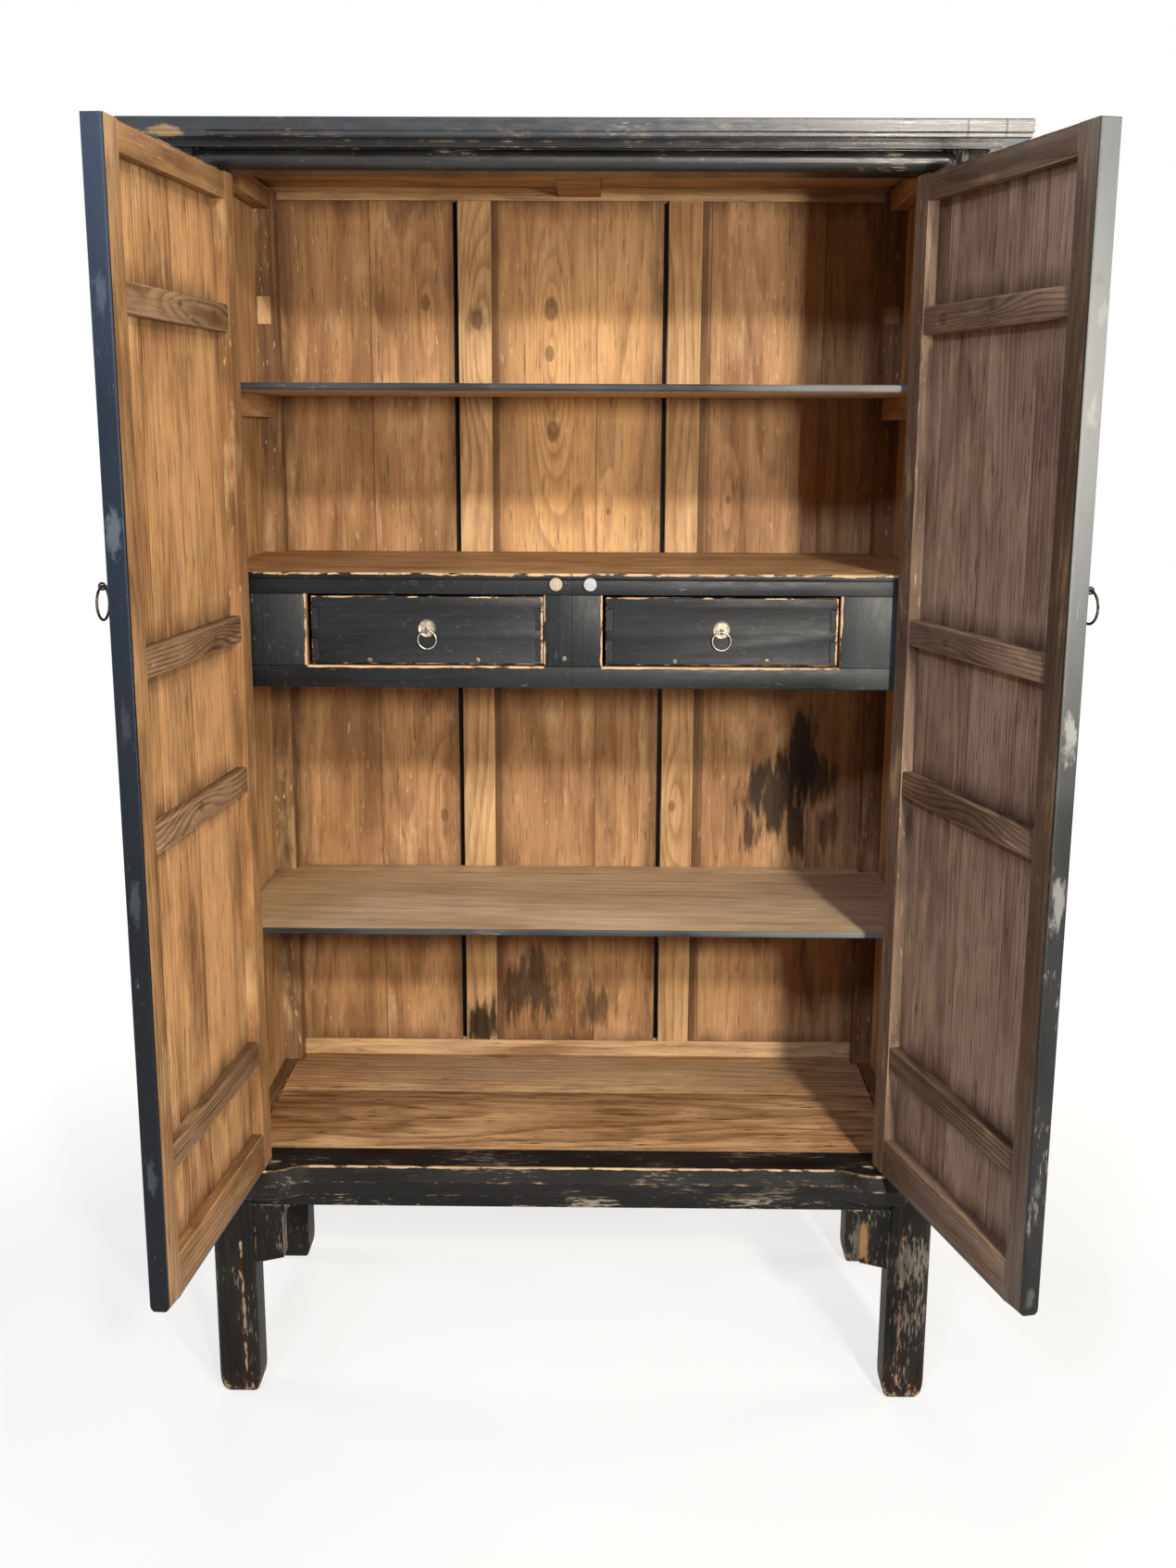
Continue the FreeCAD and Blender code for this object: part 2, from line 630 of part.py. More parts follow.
def tenons(z0, z1):
    d0 = pivot_depth - tenon_thickness / 2 + groove_depth / 2
    low = z0 + tenon_shoulder
    high = z1 - tenon_shoulder
    return [block(stile_inner, stile_inner + tenon_length, d0, d0 + tenon_thickness, low, high),
            block(free_inner - tenon_length, free_inner, d0, d0 + tenon_thickness, low, high)]


mortises = tenons(door_bottom, opening_low) + tenons(opening_high, door_top)


def hinge_stile():
    z = door_bottom
    edges = [line(at(pivot_x, door_front, z), at(stile_inner, door_front, z)),
             line(at(stile_inner, door_front, z), at(stile_inner, door_back, z)),
             line(at(stile_inner, door_back, z), at(pivot_x, door_back, z)),
             arc(at(pivot_x, door_back, z), at(hinge_edge, pivot_depth, z), at(pivot_x, door_front, z))]
    stile = outline_prism(edges, V(0, 0, door_top - door_bottom)).cut([panel_grooves] + mortises)
    low_end = floor_level - socket_depth + pintle_seat_gap
    high_end = head_bottom + pintle_top_entry
    low_pin = Part.makeCylinder(pintle_radius, door_bottom - low_end, at(pivot_x, pivot_depth, low_end))
    high_pin = Part.makeCylinder(pintle_radius, high_end - door_top, at(pivot_x, pivot_depth, door_top))
    return stile.multiFuse([low_pin, high_pin])


def free_stile():
    stile = block(free_edge, free_inner, door_front, door_back, door_bottom, door_top)
    arrises = [e for e in stile.Edges if e.BoundBox.XMax < free_edge + edge_tolerance]
    return stile.makeFillet(free_stile_round, arrises).cut([panel_grooves] + mortises)


def door_rails():
    low = block(free_inner, stile_inner, door_front, door_back, door_bottom, opening_low)
    high = block(free_inner, stile_inner, door_front, door_back, opening_high, door_top)
    low = low.multiFuse(tenons(door_bottom, opening_low)).cut(panel_grooves)
    high = high.multiFuse(tenons(opening_high, door_top)).cut(panel_grooves)
    return [low, high]


def batten(level):
    half = batten_height / 2
    neck = dovetail_neck / 2
    flare = neck + dovetail_flare
    back = door_back - batten_drop
    tip = panel_back - dovetail_depth
    shoulder = back - batten_chamfer
    flat = half - batten_chamfer
    points = [(panel_back, level - half), (shoulder, level - half), (back, level - flat), (back, level + flat),
              (shoulder, level + half), (panel_back, level + half), (panel_back, level + neck),
              (tip, level + flare), (tip, level - flare), (panel_back, level - neck)]
    return section_prism(points, free_inner, stile_inner)


middle_level = (door_bottom + door_top) / 2 - batten_middle_drop
batten_levels = (door_top - batten_top_offset, middle_level + batten_middle_spacing / 2,
                 middle_level - batten_middle_spacing / 2, door_bottom + batten_bottom_offset)
battens = [batten(level) for level in batten_levels]


def door_panel():
    tongue = groove_depth - groove_play
    panel = block(free_inner, stile_inner, panel_front, panel_back, opening_low, opening_high)
    rim = block(free_inner - tongue, stile_inner + tongue, tongue_front, panel_back, opening_low - tongue,
                opening_high + tongue)
    return panel.fuse(rim).removeSplitter().cut(battens)


pull_x = free_edge + free_stile_width / 2
door_pieces = {
    "hinge_stile": [hinge_stile()],
    "free_stile": [free_stile()],
    "rails": door_rails(),
    "panel": [door_panel()],
    "battens": battens,
    "pull": [pull_plate(pull_x, door_front, door_pull_level, door_plate_radius, door_plate_thickness, door_eye_reach,
                        door_eye_radius, door_eye_wire, door_eye_drop)],
    "ring": [pull_ring(pull_x, door_front, door_pull_level - door_eye_drop, door_eye_reach, door_ring_radius,
                       door_ring_wire)],
}

# Each door stands open by its own angle, as it is at rest
for side, sign in (("left", -1), ("right", 1)):
    for piece, solids in door_pieces.items():
        placed = [mirrored(solid) if sign < 0 else solid.copy() for solid in solids]
        for solid in placed:
            solid.rotate(at(sign * pivot_x, pivot_depth, 0), V(0, 0, 1), sign * open_angle[side])
        save("door_" + side + "_" + piece, *placed)
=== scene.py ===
import json
import math

import bpy
from mathutils import Matrix, Vector

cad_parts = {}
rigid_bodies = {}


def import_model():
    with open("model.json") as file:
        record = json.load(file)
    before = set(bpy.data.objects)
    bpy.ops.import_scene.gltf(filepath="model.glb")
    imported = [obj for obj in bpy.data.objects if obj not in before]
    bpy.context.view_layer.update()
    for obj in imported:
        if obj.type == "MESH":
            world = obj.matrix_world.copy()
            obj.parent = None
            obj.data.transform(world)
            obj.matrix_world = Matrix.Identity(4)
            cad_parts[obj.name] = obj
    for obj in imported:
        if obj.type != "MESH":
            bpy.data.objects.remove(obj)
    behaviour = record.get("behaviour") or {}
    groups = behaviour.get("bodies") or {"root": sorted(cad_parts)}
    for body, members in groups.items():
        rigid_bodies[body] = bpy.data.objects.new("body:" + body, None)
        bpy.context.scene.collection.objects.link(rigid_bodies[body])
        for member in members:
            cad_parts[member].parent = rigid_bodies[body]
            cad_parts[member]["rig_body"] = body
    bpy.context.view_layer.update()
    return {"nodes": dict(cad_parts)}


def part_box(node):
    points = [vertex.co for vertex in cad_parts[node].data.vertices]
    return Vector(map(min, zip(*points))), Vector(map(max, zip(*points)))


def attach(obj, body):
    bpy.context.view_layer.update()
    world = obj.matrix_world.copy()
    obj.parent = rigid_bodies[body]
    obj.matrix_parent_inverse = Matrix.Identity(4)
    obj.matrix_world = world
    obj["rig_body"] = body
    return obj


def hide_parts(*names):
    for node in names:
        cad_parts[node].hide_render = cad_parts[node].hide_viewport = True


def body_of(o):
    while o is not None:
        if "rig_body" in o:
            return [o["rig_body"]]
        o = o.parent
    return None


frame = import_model()


# Posts: four squared lengths of old softwood that run down into the legs, the front pair reeded along
# the inner edge. They are brushed with black lacquer outside and left bare where they face the inside,
# and a century of handling has rubbed every arris back to the wood.
def linear(colour):
    channels = [int(colour[i:i + 2], 16) / 255 for i in (1, 3, 5)]
    return tuple(c / 12.92 if c <= 0.04045 else ((c + 0.055) / 1.055) ** 2.4 for c in channels) + (1.0,)


def add(tree, kind, inputs, **settings):
    made = tree.nodes.new("ShaderNode" + kind)
    for name, value in settings.items():
        setattr(made, name, value)
    for key, value in inputs.items():
        if isinstance(value, bpy.types.Node):
            value = next(socket for socket in value.outputs if socket.enabled)
        if isinstance(value, bpy.types.NodeSocket):
            tree.links.new(value, made.inputs[key])
        else:
            made.inputs[key].default_value = value
    return made


def calc(tree, operation, *values):
    return add(tree, "Math", dict(enumerate(values)), operation=operation)


def calc_vector(tree, operation, *values):
    return add(tree, "VectorMath", dict(enumerate(values)), operation=operation)


def ramp(tree, value, start, end, low=0.0, high=1.0, **settings):
    # Low where a value is at the start of a range, high where it is at the end, and level outside it.
    return add(tree, "MapRange", {0: value, 1: start, 2: end, 3: low, 4: high}, **settings)


def tint(tree, share, under, over, **settings):
    # One colour laid over another by a share. Each is a hex string or comes from another node.
    under, over = (linear(colour) if isinstance(colour, str) else colour for colour in (under, over))
    share_socket, under_socket, over_socket = 0, 6, 7
    return add(tree, "Mix", {share_socket: share, under_socket: under, over_socket: over},
               data_type="RGBA", **settings)


def mottle(tree, spot, axes, run, side, detail, shift=(0, 0, 0)):
    # A cloudy pattern with one cloud for every run by side millimetres of the timber.
    sizes = dict(zip(axes, (run, side, side)))
    scaled = calc_vector(tree, "MULTIPLY_ADD", spot, [1 / sizes[axis] for axis in "XYZ"], shift)
    return add(tree, "TexNoise", {"Vector": scaled, "Scale": 1.0, "Detail": detail, "Roughness": 0.62})


def blot(tree, spot, middle, half, ragged, strength):
    # A ragged spot round a middle, with its half sizes in millimetres, that soaks out at its border.
    away = calc_vector(tree, "SUBTRACT", spot, middle)
    away = calc_vector(tree, "MULTIPLY", away, [1 / size for size in half])
    away = calc_vector(tree, "LENGTH", away).outputs["Value"]
    away = calc(tree, "MULTIPLY_ADD", ragged, -2.6, away)
    return ramp(tree, away, -0.3, -0.9, high=strength, interpolation_type="SMOOTHSTEP")


def within(tree, spot, middle, half, fade, strength):
    # A box round a middle, with its half sizes in millimetres, that fades in from its sides.
    away = calc_vector(tree, "SUBTRACT", spot, middle)
    away = calc_vector(tree, "ABSOLUTE", away)
    away = calc_vector(tree, "SUBTRACT", away, half)
    sides = add(tree, "SeparateXYZ", {0: away})
    far = calc(tree, "MAXIMUM", sides.outputs["X"], sides.outputs["Y"])
    far = calc(tree, "MAXIMUM", far, sides.outputs["Z"])
    return ramp(tree, far, 0.0, -fade, high=strength)


def bare_pine(tree, spot, axes, look):
    # Old pine planed by hand: growth rings cut flat make arches and lines, a few knots, fine fibre,
    # and a brown skin of age that is darker in streaks and patches and scraped paler in others.
    board = look.get("board", 150.0)
    seed = look.get("seed", 0.0)
    figure = look.get("figure", 0.5)
    late = look.get("late", "#70492a")
    parts = add(tree, "SeparateXYZ", {0: spot})
    run, side, deep = (parts.outputs[axis] for axis in axes)
    cell = calc(tree, "MULTIPLY_ADD", side, 1 / board, seed)
    index = calc(tree, "FLOOR", cell)
    across_board = calc(tree, "SUBTRACT", cell, index)
    label = calc(tree, "ADD", index, seed * 7.3)
    chance = add(tree, "TexWhiteNoise", {"W": label}, noise_dimensions="1D")
    odds = add(tree, "SeparateColor", {0: chance.outputs["Color"]})
    shift = calc_vector(tree, "MULTIPLY", chance.outputs["Color"], (37, 53, 71))

    warp = mottle(tree, spot, axes, 420, 90, 1.0, shift)
    off = calc(tree, "SUBTRACT", across_board, odds.outputs[0])
    off = calc(tree, "MULTIPLY", off, board)
    lean = calc(tree, "MULTIPLY_ADD", odds.outputs[2], 0.09, -0.045)
    heart = calc(tree, "MULTIPLY_ADD", run, lean, deep)
    heart_deep = calc(tree, "MULTIPLY_ADD", odds.outputs[1], 50.0, 8.0)
    heart = calc(tree, "ADD", heart, heart_deep)
    flat = add(tree, "CombineXYZ", {0: off, 1: heart})
    reach = calc_vector(tree, "LENGTH", flat).outputs["Value"]
    reach = calc(tree, "MULTIPLY_ADD", warp, 26.0, reach)
    knot_core = None
    for knot_side, knot_run, knot_size in look.get("knots", ()):
        across = calc(tree, "SUBTRACT", side, knot_side)
        along = calc(tree, "SUBTRACT", run, knot_run)
        along_core = calc(tree, "MULTIPLY", along, 0.6)
        along_arch = calc(tree, "MULTIPLY", along, 0.2)
        arch = add(tree, "CombineXYZ", {0: across, 1: along_arch})
        arch = calc_vector(tree, "LENGTH", arch).outputs["Value"]
        pull = ramp(tree, arch, 4.5 * knot_size, 0.0, high=2.2 * knot_size, interpolation_type="SMOOTHSTEP")
        reach = calc(tree, "ADD", reach, pull)
        core = add(tree, "CombineXYZ", {0: across, 1: along_core})
        core = calc_vector(tree, "LENGTH", core).outputs["Value"]
        core = ramp(tree, core, knot_size, 0.7 * knot_size, interpolation_type="SMOOTHSTEP")
        knot_core = calc(tree, "MAXIMUM", knot_core, core) if knot_core else core
    turns = calc(tree, "DIVIDE", reach, look.get("ring", 8.0))
    turns = calc(tree, "FRACT", turns)
    latewood = ramp(tree, turns, 0.3, 0.9, interpolation_type="SMOOTHSTEP")
    ring_end = ramp(tree, turns, 0.9, 1.0, low=1.0, high=0.0)
    latewood = calc(tree, "MULTIPLY", latewood, ring_end)

    streak = mottle(tree, spot, axes, 520, 14, 3.0, shift)
    fibre = mottle(tree, spot, axes, 150, 3.4, 3.0)
    patch = mottle(tree, spot, axes, 260, 110, 3.0, shift)
    grime = mottle(tree, spot, axes, 150, 42, 5.0, shift)
    grain = mottle(tree, spot, axes, 70, 1.8, 2.0, shift)
    tone = calc(tree, "MULTIPLY", streak, look.get("streaks", 0.34))
    tone = calc(tree, "MULTIPLY_ADD", grain, 0.3, tone)
    tone = calc(tree, "MULTIPLY_ADD", patch, 0.6, tone)
    tone = calc(tree, "MULTIPLY_ADD", odds.outputs[2], 0.12, tone)
    spread = look.get("spread", 0.34)
    tone = ramp(tree, tone, 0.68 - spread / 2, 0.68 + spread / 2)
    colour = tint(tree, tone, look.get("light", "#d0a673"), look.get("dark", "#8f6840"))
    for middle, half, fade, shade, strength in look.get("pale", ()):
        cover = within(tree, spot, middle, half, fade, strength)
        colour = tint(tree, cover, colour, shade)
    scrape = ramp(tree, grime, 0.44, 0.26, high=look.get("scraped", 0.45))
    colour = tint(tree, scrape, colour, "#e6c796")
    dirt = ramp(tree, grime, 0.54, 0.78, high=look.get("grime", 0.5))
    colour = tint(tree, dirt, colour, late)
    late_share = ramp(tree, patch, 0.35, 0.62, low=0.4 * figure, high=figure)
    late_share = calc(tree, "MULTIPLY", latewood, late_share)
    colour = tint(tree, late_share, colour, late)
    dash = mottle(tree, spot, axes, 48, 3.6, 2.0, shift)
    dash = ramp(tree, dash, 0.58, 0.7, high=look.get("dashes", 0.25))
    colour = tint(tree, dash, colour, "#3d2615")
    fleck = mottle(tree, spot, axes, 30, 6, 4.0, shift)
    fleck = ramp(tree, fleck, 0.63, 0.7, high=look.get("flecks", 0.25))
    colour = tint(tree, fleck, colour, "#e2c79c")
    fibre_tone = ramp(tree, fibre, 0.25, 0.75, low=0.78, high=1.12)
    colour = tint(tree, 1.0, colour, fibre_tone, blend_type="MULTIPLY")
    if knot_core:
        knot_core = calc(tree, "MULTIPLY", knot_core, 0.6)
        colour = tint(tree, knot_core, colour, "#5d3d22")
    inside_field = None
    # The borders of each field, where the panel meets its frame, battens or muntins, are darkened: dirt and
    # painted shade.
    for middle, half in look.get("fields", ()):
        cover = within(tree, spot, middle, half, 30.0, 1.0)
        inside_field = calc(tree, "MAXIMUM", inside_field, cover) if inside_field else cover
    if inside_field:
        border = calc(tree, "SUBTRACT", 1.0, inside_field)
        soil_and_shade = ramp(tree, grime, 0.3, 0.62, low=0.15, high=0.75)
        soil_and_shade = calc(tree, "MULTIPLY", border, soil_and_shade)
        colour = tint(tree, soil_and_shade, colour, "#3f2715")
    ragged = mottle(tree, spot, axes, 85, 13, 5.0) if "stains" in look else None
    for middle, half, shade, strength in look.get("stains", ()):
        soak = blot(tree, spot, middle, half, ragged, strength)
        colour = tint(tree, soak, colour, shade)
    # Boxes of painted shade: each one darkens the wood towards its middle.
    for middle, half, fade, shade, strength in look.get("shades", ()):
        cover = within(tree, spot, middle, half, fade, strength)
        colour = tint(tree, cover, colour, shade)
    arris = add(tree, "Attribute", {}, attribute_name="arris").outputs["Fac"]
    paler = ramp(tree, grime, 0.4, 0.62, high=look.get("pale_arris", 0.6))
    paler = calc(tree, "MULTIPLY", arris, paler)
    colour = tint(tree, paler, colour, "#d8b688")
    edge = calc(tree, "SUBTRACT", across_board, 0.5)
    edge = calc(tree, "ABSOLUTE", edge)
    seam = ramp(tree, edge, 0.5 - 1.5 / board, 0.5 - 0.4 / board)
    seam_share = calc(tree, "MULTIPLY", seam, 0.5)
    colour = tint(tree, seam_share, colour, "#39230f")
    rough = ramp(tree, streak, 0.3, 0.7, low=0.5, high=0.68)
    height = calc(tree, "MULTIPLY_ADD", latewood, 0.5, fibre)
    height = calc(tree, "MULTIPLY_ADD", seam, -2.0, height)
    return colour, rough, height


def black_lacquer(tree, spot, axes, look):
    # Thin black lacquer over a red-brown ground: a dull cloudy sheen with hair scratches, rubbed through
    # to pale wood on the arrises and scuffed in clusters of fine flecks on the flats.
    rub = look.get("rub", 0.4)
    scuffs = look.get("scuffs", 0.5)
    rounded = add(tree, "Bevel", {"Radius": look.get("edge", 4.0) / 1000}, samples=4)
    faces = add(tree, "NewGeometry", {})
    lie = calc_vector(tree, "DOT_PRODUCT", rounded, faces.outputs["Normal"])
    bend = ramp(tree, lie.outputs["Value"], 1.0, 0.80)
    arris = add(tree, "Attribute", {}, attribute_name="arris").outputs["Fac"]
    bend = calc(tree, "MAXIMUM", bend, arris)
    for middle, half, strength in look.get("spared", ()):
        cover = within(tree, spot, middle, half, 2.0, -strength)
        bend = calc(tree, "MULTIPLY_ADD", bend, cover, bend)

    chip = mottle(tree, spot, axes, 26, 8, 4.0)
    cloud = mottle(tree, spot, axes, 150, 60, 2.0)
    fleck = mottle(tree, spot, axes, 20, 3.4, 3.0)
    brush = mottle(tree, spot, axes, 200, 4.0, 2.0)
    worn = calc(tree, "MULTIPLY", bend, 0.55 * rub)
    for middle, half, fade, strength in look.get("worn", ()):
        cover = within(tree, spot, middle, half, fade, strength)
        worn = calc(tree, "MAXIMUM", worn, cover)
    worn = calc(tree, "MULTIPLY_ADD", chip, 0.7, worn)
    worn = calc(tree, "MULTIPLY_ADD", cloud, 0.2, worn)
    through = ramp(tree, worn, 0.68, 0.75, interpolation_type="SMOOTHSTEP")
    ground = ramp(tree, worn, 0.6, 0.67, interpolation_type="SMOOTHSTEP")
    scuff_sum = calc(tree, "MULTIPLY", fleck, 0.8)
    scuff_sum = calc(tree, "MULTIPLY_ADD", cloud, 0.9, scuff_sum)
    scuff_from = 1.08 - 0.12 * scuffs
    scuff_full = 1.16 - 0.12 * scuffs
    scuffed = ramp(tree, scuff_sum, scuff_from, scuff_full, high=0.6)
    hair = mottle(tree, spot, axes, 60, 24, 1.0)
    hair = calc(tree, "SUBTRACT", hair, 0.5)
    hair = calc(tree, "ABSOLUTE", hair)
    hair = ramp(tree, hair, 0.009, 0.001)
    scratched = ramp(tree, fleck, 0.48, 0.6, high=look.get("scratches", 0.08))
    hair = calc(tree, "MULTIPLY", hair, scratched)

    film = calc(tree, "MULTIPLY", brush, 0.35)
    film = calc(tree, "MULTIPLY_ADD", cloud, 0.65, film)
    film = ramp(tree, film, 0.38, 0.66)
    colour = tint(tree, film, look.get("black", "#0b0b0b"), look.get("faded", "#1c1b19"))
    # Painted sheen and reflection: bands of tinted colour along one axis, paler or darker, that stand in
    # for lamps and room seen in the lacquer. An optional box keeps them to one face.
    for axis, low, high, shade, strength in look.get("washes", ()):
        parts = add(tree, "SeparateXYZ", {0: spot})
        edge = calc(tree, "MULTIPLY_ADD", cloud, 160.0, parts.outputs[axis])
        cover = ramp(tree, edge, low + 80.0, high + 80.0, high=strength)
        if "sheen_box" in look:
            kept = within(tree, spot, *look["sheen_box"])
            cover = calc(tree, "MULTIPLY", cover, kept)
        colour = tint(tree, cover, colour, shade)
    ragged = mottle(tree, spot, axes, 22, 9, 5.0) if "marks" in look else None
    for middle, half, shade, strength in look.get("marks", ()):
        cover = blot(tree, spot, middle, half, ragged, strength)
        colour = tint(tree, cover, colour, shade)
    ground_share = calc(tree, "MULTIPLY", ground, 0.7)
    colour = tint(tree, ground_share, colour, "#33190f")
    pale_core, dark_core = look.get("core", ("#d9bb93", "#a58460"))
    wood = tint(tree, film, pale_core, dark_core)
    colour = tint(tree, through, colour, wood)
    colour = tint(tree, scuffed, colour, look.get("scuff", "#8a7f6d"))
    colour = tint(tree, hair, colour, "#8b9092")
    polish = look.get("polish", 0.5)
    rough = ramp(tree, chip, 0.3, 0.7, low=polish, high=polish + 0.14)
    bare = calc(tree, "MAXIMUM", through, scuffed)
    rough = add(tree, "Mix", {0: bare, 2: rough, 3: 0.72}, data_type="FLOAT")
    height = calc(tree, "MULTIPLY_ADD", bare, -0.8, brush)
    height = calc(tree, "MULTIPLY_ADD", chip, look.get("ripple", 1.2), height)
    for middle, half in look.get("joints", ()):
        gap = within(tree, spot, middle, half, 0.6, 0.8)
        colour = tint(tree, gap, colour, "#050505")
        height = calc(tree, "MULTIPLY_ADD", gap, -1.5, height)
    return colour, rough, height


def skin(tree, layer, gloss):
    colour, rough, height = layer
    relief = add(tree, "Bump", {"Strength": 0.5, "Distance": 0.0004, "Height": height})
    shader = add(tree, "BsdfPrincipled", {"Base Color": colour, "Roughness": rough, "Normal": relief})
    shader.inputs["Specular IOR Level"].default_value = gloss
    return shader


def blank(name):
    material = bpy.data.materials.new(name)
    material.use_nodes = True
    material.node_tree.nodes.clear()
    return material, material.node_tree


def timber(name, axes, bare, origin=(0, 0, 0), turn=0.0, **look):
    # bare is True for unfinished wood, () for lacquer all over, or the limits (axis, side, millimetres)
    # inside which a lacquered piece was left bare; X counts from the middle outwards.
    material, tree = blank(name)
    place = add(tree, "TexCoord", {})
    spot = add(tree, "Mapping", {"Vector": place.outputs["Object"], "Location": [v / 1000 for v in origin],
                                 "Rotation": (0, 0, math.radians(turn)), "Scale": (0.001, 0.001, 0.001)},
               vector_type="TEXTURE")
    bare_gloss = 0.22
    if bare is True:
        shader = skin(tree, bare_pine(tree, spot, axes, look), bare_gloss)
    else:
        shader = skin(tree, black_lacquer(tree, spot, axes, look), look.get("gloss", 0.25))
    if bare and bare is not True:
        wood = skin(tree, bare_pine(tree, spot, axes, look), bare_gloss)
        parts = add(tree, "SeparateXYZ", {0: spot})
        middle = calc(tree, "ABSOLUTE", parts.outputs["X"])
        inside = None
        for axis, side, limit in bare:
            measure = middle if axis == "X" else parts.outputs[axis]
            step = ramp(tree, measure, limit - 0.3 * side, limit + 0.3 * side)
            inside = calc(tree, "MULTIPLY", step, inside) if inside else step
        shader = add(tree, "MixShader", {0: inside, 1: shader, 2: wood})
    add(tree, "OutputMaterial", {"Surface": shader})
    return material


def dress(material, *nodes):
    for node in nodes:
        for slot in frame["nodes"][node].material_slots:
            slot.material = material


def start_copy(node, material):
    # A copy of a CAD node's mesh with its triangles merged, on the same body and in the node's place.
    cut = frame["nodes"][node]
    piece = bpy.data.objects.new(node + "_eased", cut.data.copy())
    bpy.context.scene.collection.objects.link(piece)
    bpy.ops.object.select_all(action="DESELECT")
    piece.select_set(True)
    bpy.context.view_layer.objects.active = piece
    piece.data.materials.clear()
    piece.data.materials.append(material)
    bpy.ops.object.mode_set(mode="EDIT")
    bpy.ops.mesh.select_all(action="SELECT")
    bpy.ops.mesh.remove_doubles(threshold=0.00001)
    bpy.ops.mesh.dissolve_limited(angle_limit=math.radians(0.5))
    bpy.ops.object.mode_set(mode="OBJECT")
    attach(piece, body_of(cut)[0])
    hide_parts(node)
    return piece


def choose(piece, kind, wanted):
    # Goes to edit mode with only the wanted points, edges or faces of a piece selected.
    bpy.ops.object.mode_set(mode="EDIT")
    bpy.ops.mesh.select_mode(type=kind)
    bpy.ops.mesh.select_all(action="DESELECT")
    bpy.ops.object.mode_set(mode="OBJECT")
    elements = {"VERT": piece.data.vertices, "EDGE": piece.data.edges, "FACE": piece.data.polygons}[kind]
    for element in elements:
        element.select = wanted(element)
    bpy.ops.object.mode_set(mode="EDIT")


def ease(material, reach, *nodes, shape=None):
    # A piece with its arrises rounded over by reach millimetres of handling; shape works on it first.
    for node in nodes:
        piece = start_copy(node, material)
        if shape:
            shape(piece)
        rounding = piece.modifiers.new("arrises", "BEVEL")
        rounding.width = reach / 1000
        rounding.segments = 2
        rounding.limit_method = "ANGLE"
        rounding.angle_limit = math.radians(40)
        rounding.material = 1
        piece.data.materials.append(material)
        bpy.ops.object.modifier_apply(modifier=rounding.name)
        bpy.ops.object.shade_smooth_by_angle(angle=math.radians(35))
        arris = piece.data.attributes.new("arris", "FLOAT", "FACE")
        for face in piece.data.polygons:
            arris.data[face.index].value = face.material_index
            face.material_index = 0
        piece.data.materials.pop(index=1)


def stand(material, *nodes):
    # A post whose foot is rounded by damp floors and dragging: cut off above the floor, then drawn down
    # again in rings, the lower the smaller.
    foot_rings = ((30, 1.0), (20, 0.98), (12, 0.935), (6, 0.86), (2, 0.76), (0, 0.64))
    for node in nodes:
        piece = start_copy(node, material)
        low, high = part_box(node)
        middle = ((low[0] + high[0]) / 2, (low[1] + high[1]) / 2, 0)
        bpy.ops.object.mode_set(mode="EDIT")
        bpy.ops.mesh.select_mode(type="FACE")
        bpy.ops.mesh.select_all(action="SELECT")
        bpy.ops.mesh.bisect(plane_co=(0, 0, foot_rings[0][0] / 1000), plane_no=(0, 0, 1), use_fill=True,
                            clear_inner=True)
        bpy.ops.object.mode_set(mode="OBJECT")
        choose(piece, "FACE", lambda face: face.normal.z < -0.9 and face.center.z < 0.04)
        for above, ring in zip(foot_rings, foot_rings[1:]):
            share = ring[1] / above[1]
            bpy.ops.mesh.extrude_region_move(
                TRANSFORM_OT_translate={"value": (0, 0, (ring[0] - above[0]) / 1000)})
            bpy.ops.transform.resize(value=(share, share, 1), center_override=middle)
        bpy.ops.object.mode_set(mode="OBJECT")
        bpy.ops.object.shade_smooth_by_angle(angle=math.radians(35))


side_panel_inner = 513
door_back = -221
floor_top = 383
inner_post = dict(light="#b98f60", dark="#78532f", late="#56361c", board=260, flecks=0.45)
rear_post = dict(light="#94704c", dark="#573b25", late="#402a1a", board=260, flecks=0.7, seed=0.37)
leg_black = dict(rub=0.44, scuffs=1.15, scuff="#82786a", gloss=0.16, black="#0f0d0b", faded="#25221e",
                 core=("#ad977a", "#75604c"),
                 worn=[((0, -265, 0), (900, 180, 90), 90, 0.28)] +
                      [((side * 502, -249, 130), (8, 12, 150), 7.0, 0.25) for side in (-1, 1)])
stand(timber("lacquered_front_post", "ZXY", [("X", -1, side_panel_inner), ("Y", 1, door_back),
                                             ("Z", 1, floor_top)], **leg_black, **inner_post),
      "post_front_left", "post_front_right")
stand(timber("lacquered_rear_post", "ZXY", [("X", -1, side_panel_inner), ("Z", 1, floor_top)],
             **leg_black, **rear_post), "post_rear_left", "post_rear_right")


# Head rail, lower rail, apron and brackets: the front's cross timbers, tenoned between the posts. The
# rails are planed to a half-round and to a sword ridge, the brackets are sawn to a cove.
dress(timber("lacquered_head_rail", "XZY", (), rub=0.36, gloss=0.5, polish=0.26, ripple=0.6), "head_rail")
dress(timber("lacquered_lower_rail", "XZY", (), rub=0.8, scuffs=0.8, gloss=0.2, faded="#222120", edge=7.0,
             spared=[((0, -250, 337), (700, 90, 38), 0.5)],
             worn=[((0, -250, 383), (395, 4, 3.5), 2, 0.32), ((0, -265, 364), (395, 4, 2.5), 2, 0.17)] +
                  [((side * 478, -271, 383), (26, 4, 3.5), 2, 0.32) for side in (-1, 1)]), "lower_rail")
ease(timber("lacquered_apron", "XZY", (), rub=0.2, scuffs=1.2, scuff="#aa9f8a", gloss=0.2), 1.5, "apron")
ease(timber("lacquered_bracket", "ZXY", (), rub=0.5, scuffs=1.0, scuff="#a0937c", gloss=0.18,
            marks=[((440, -240, 262), (14, 30, 40), "#8d6c48", 0.85)]), 1.5, "brackets")


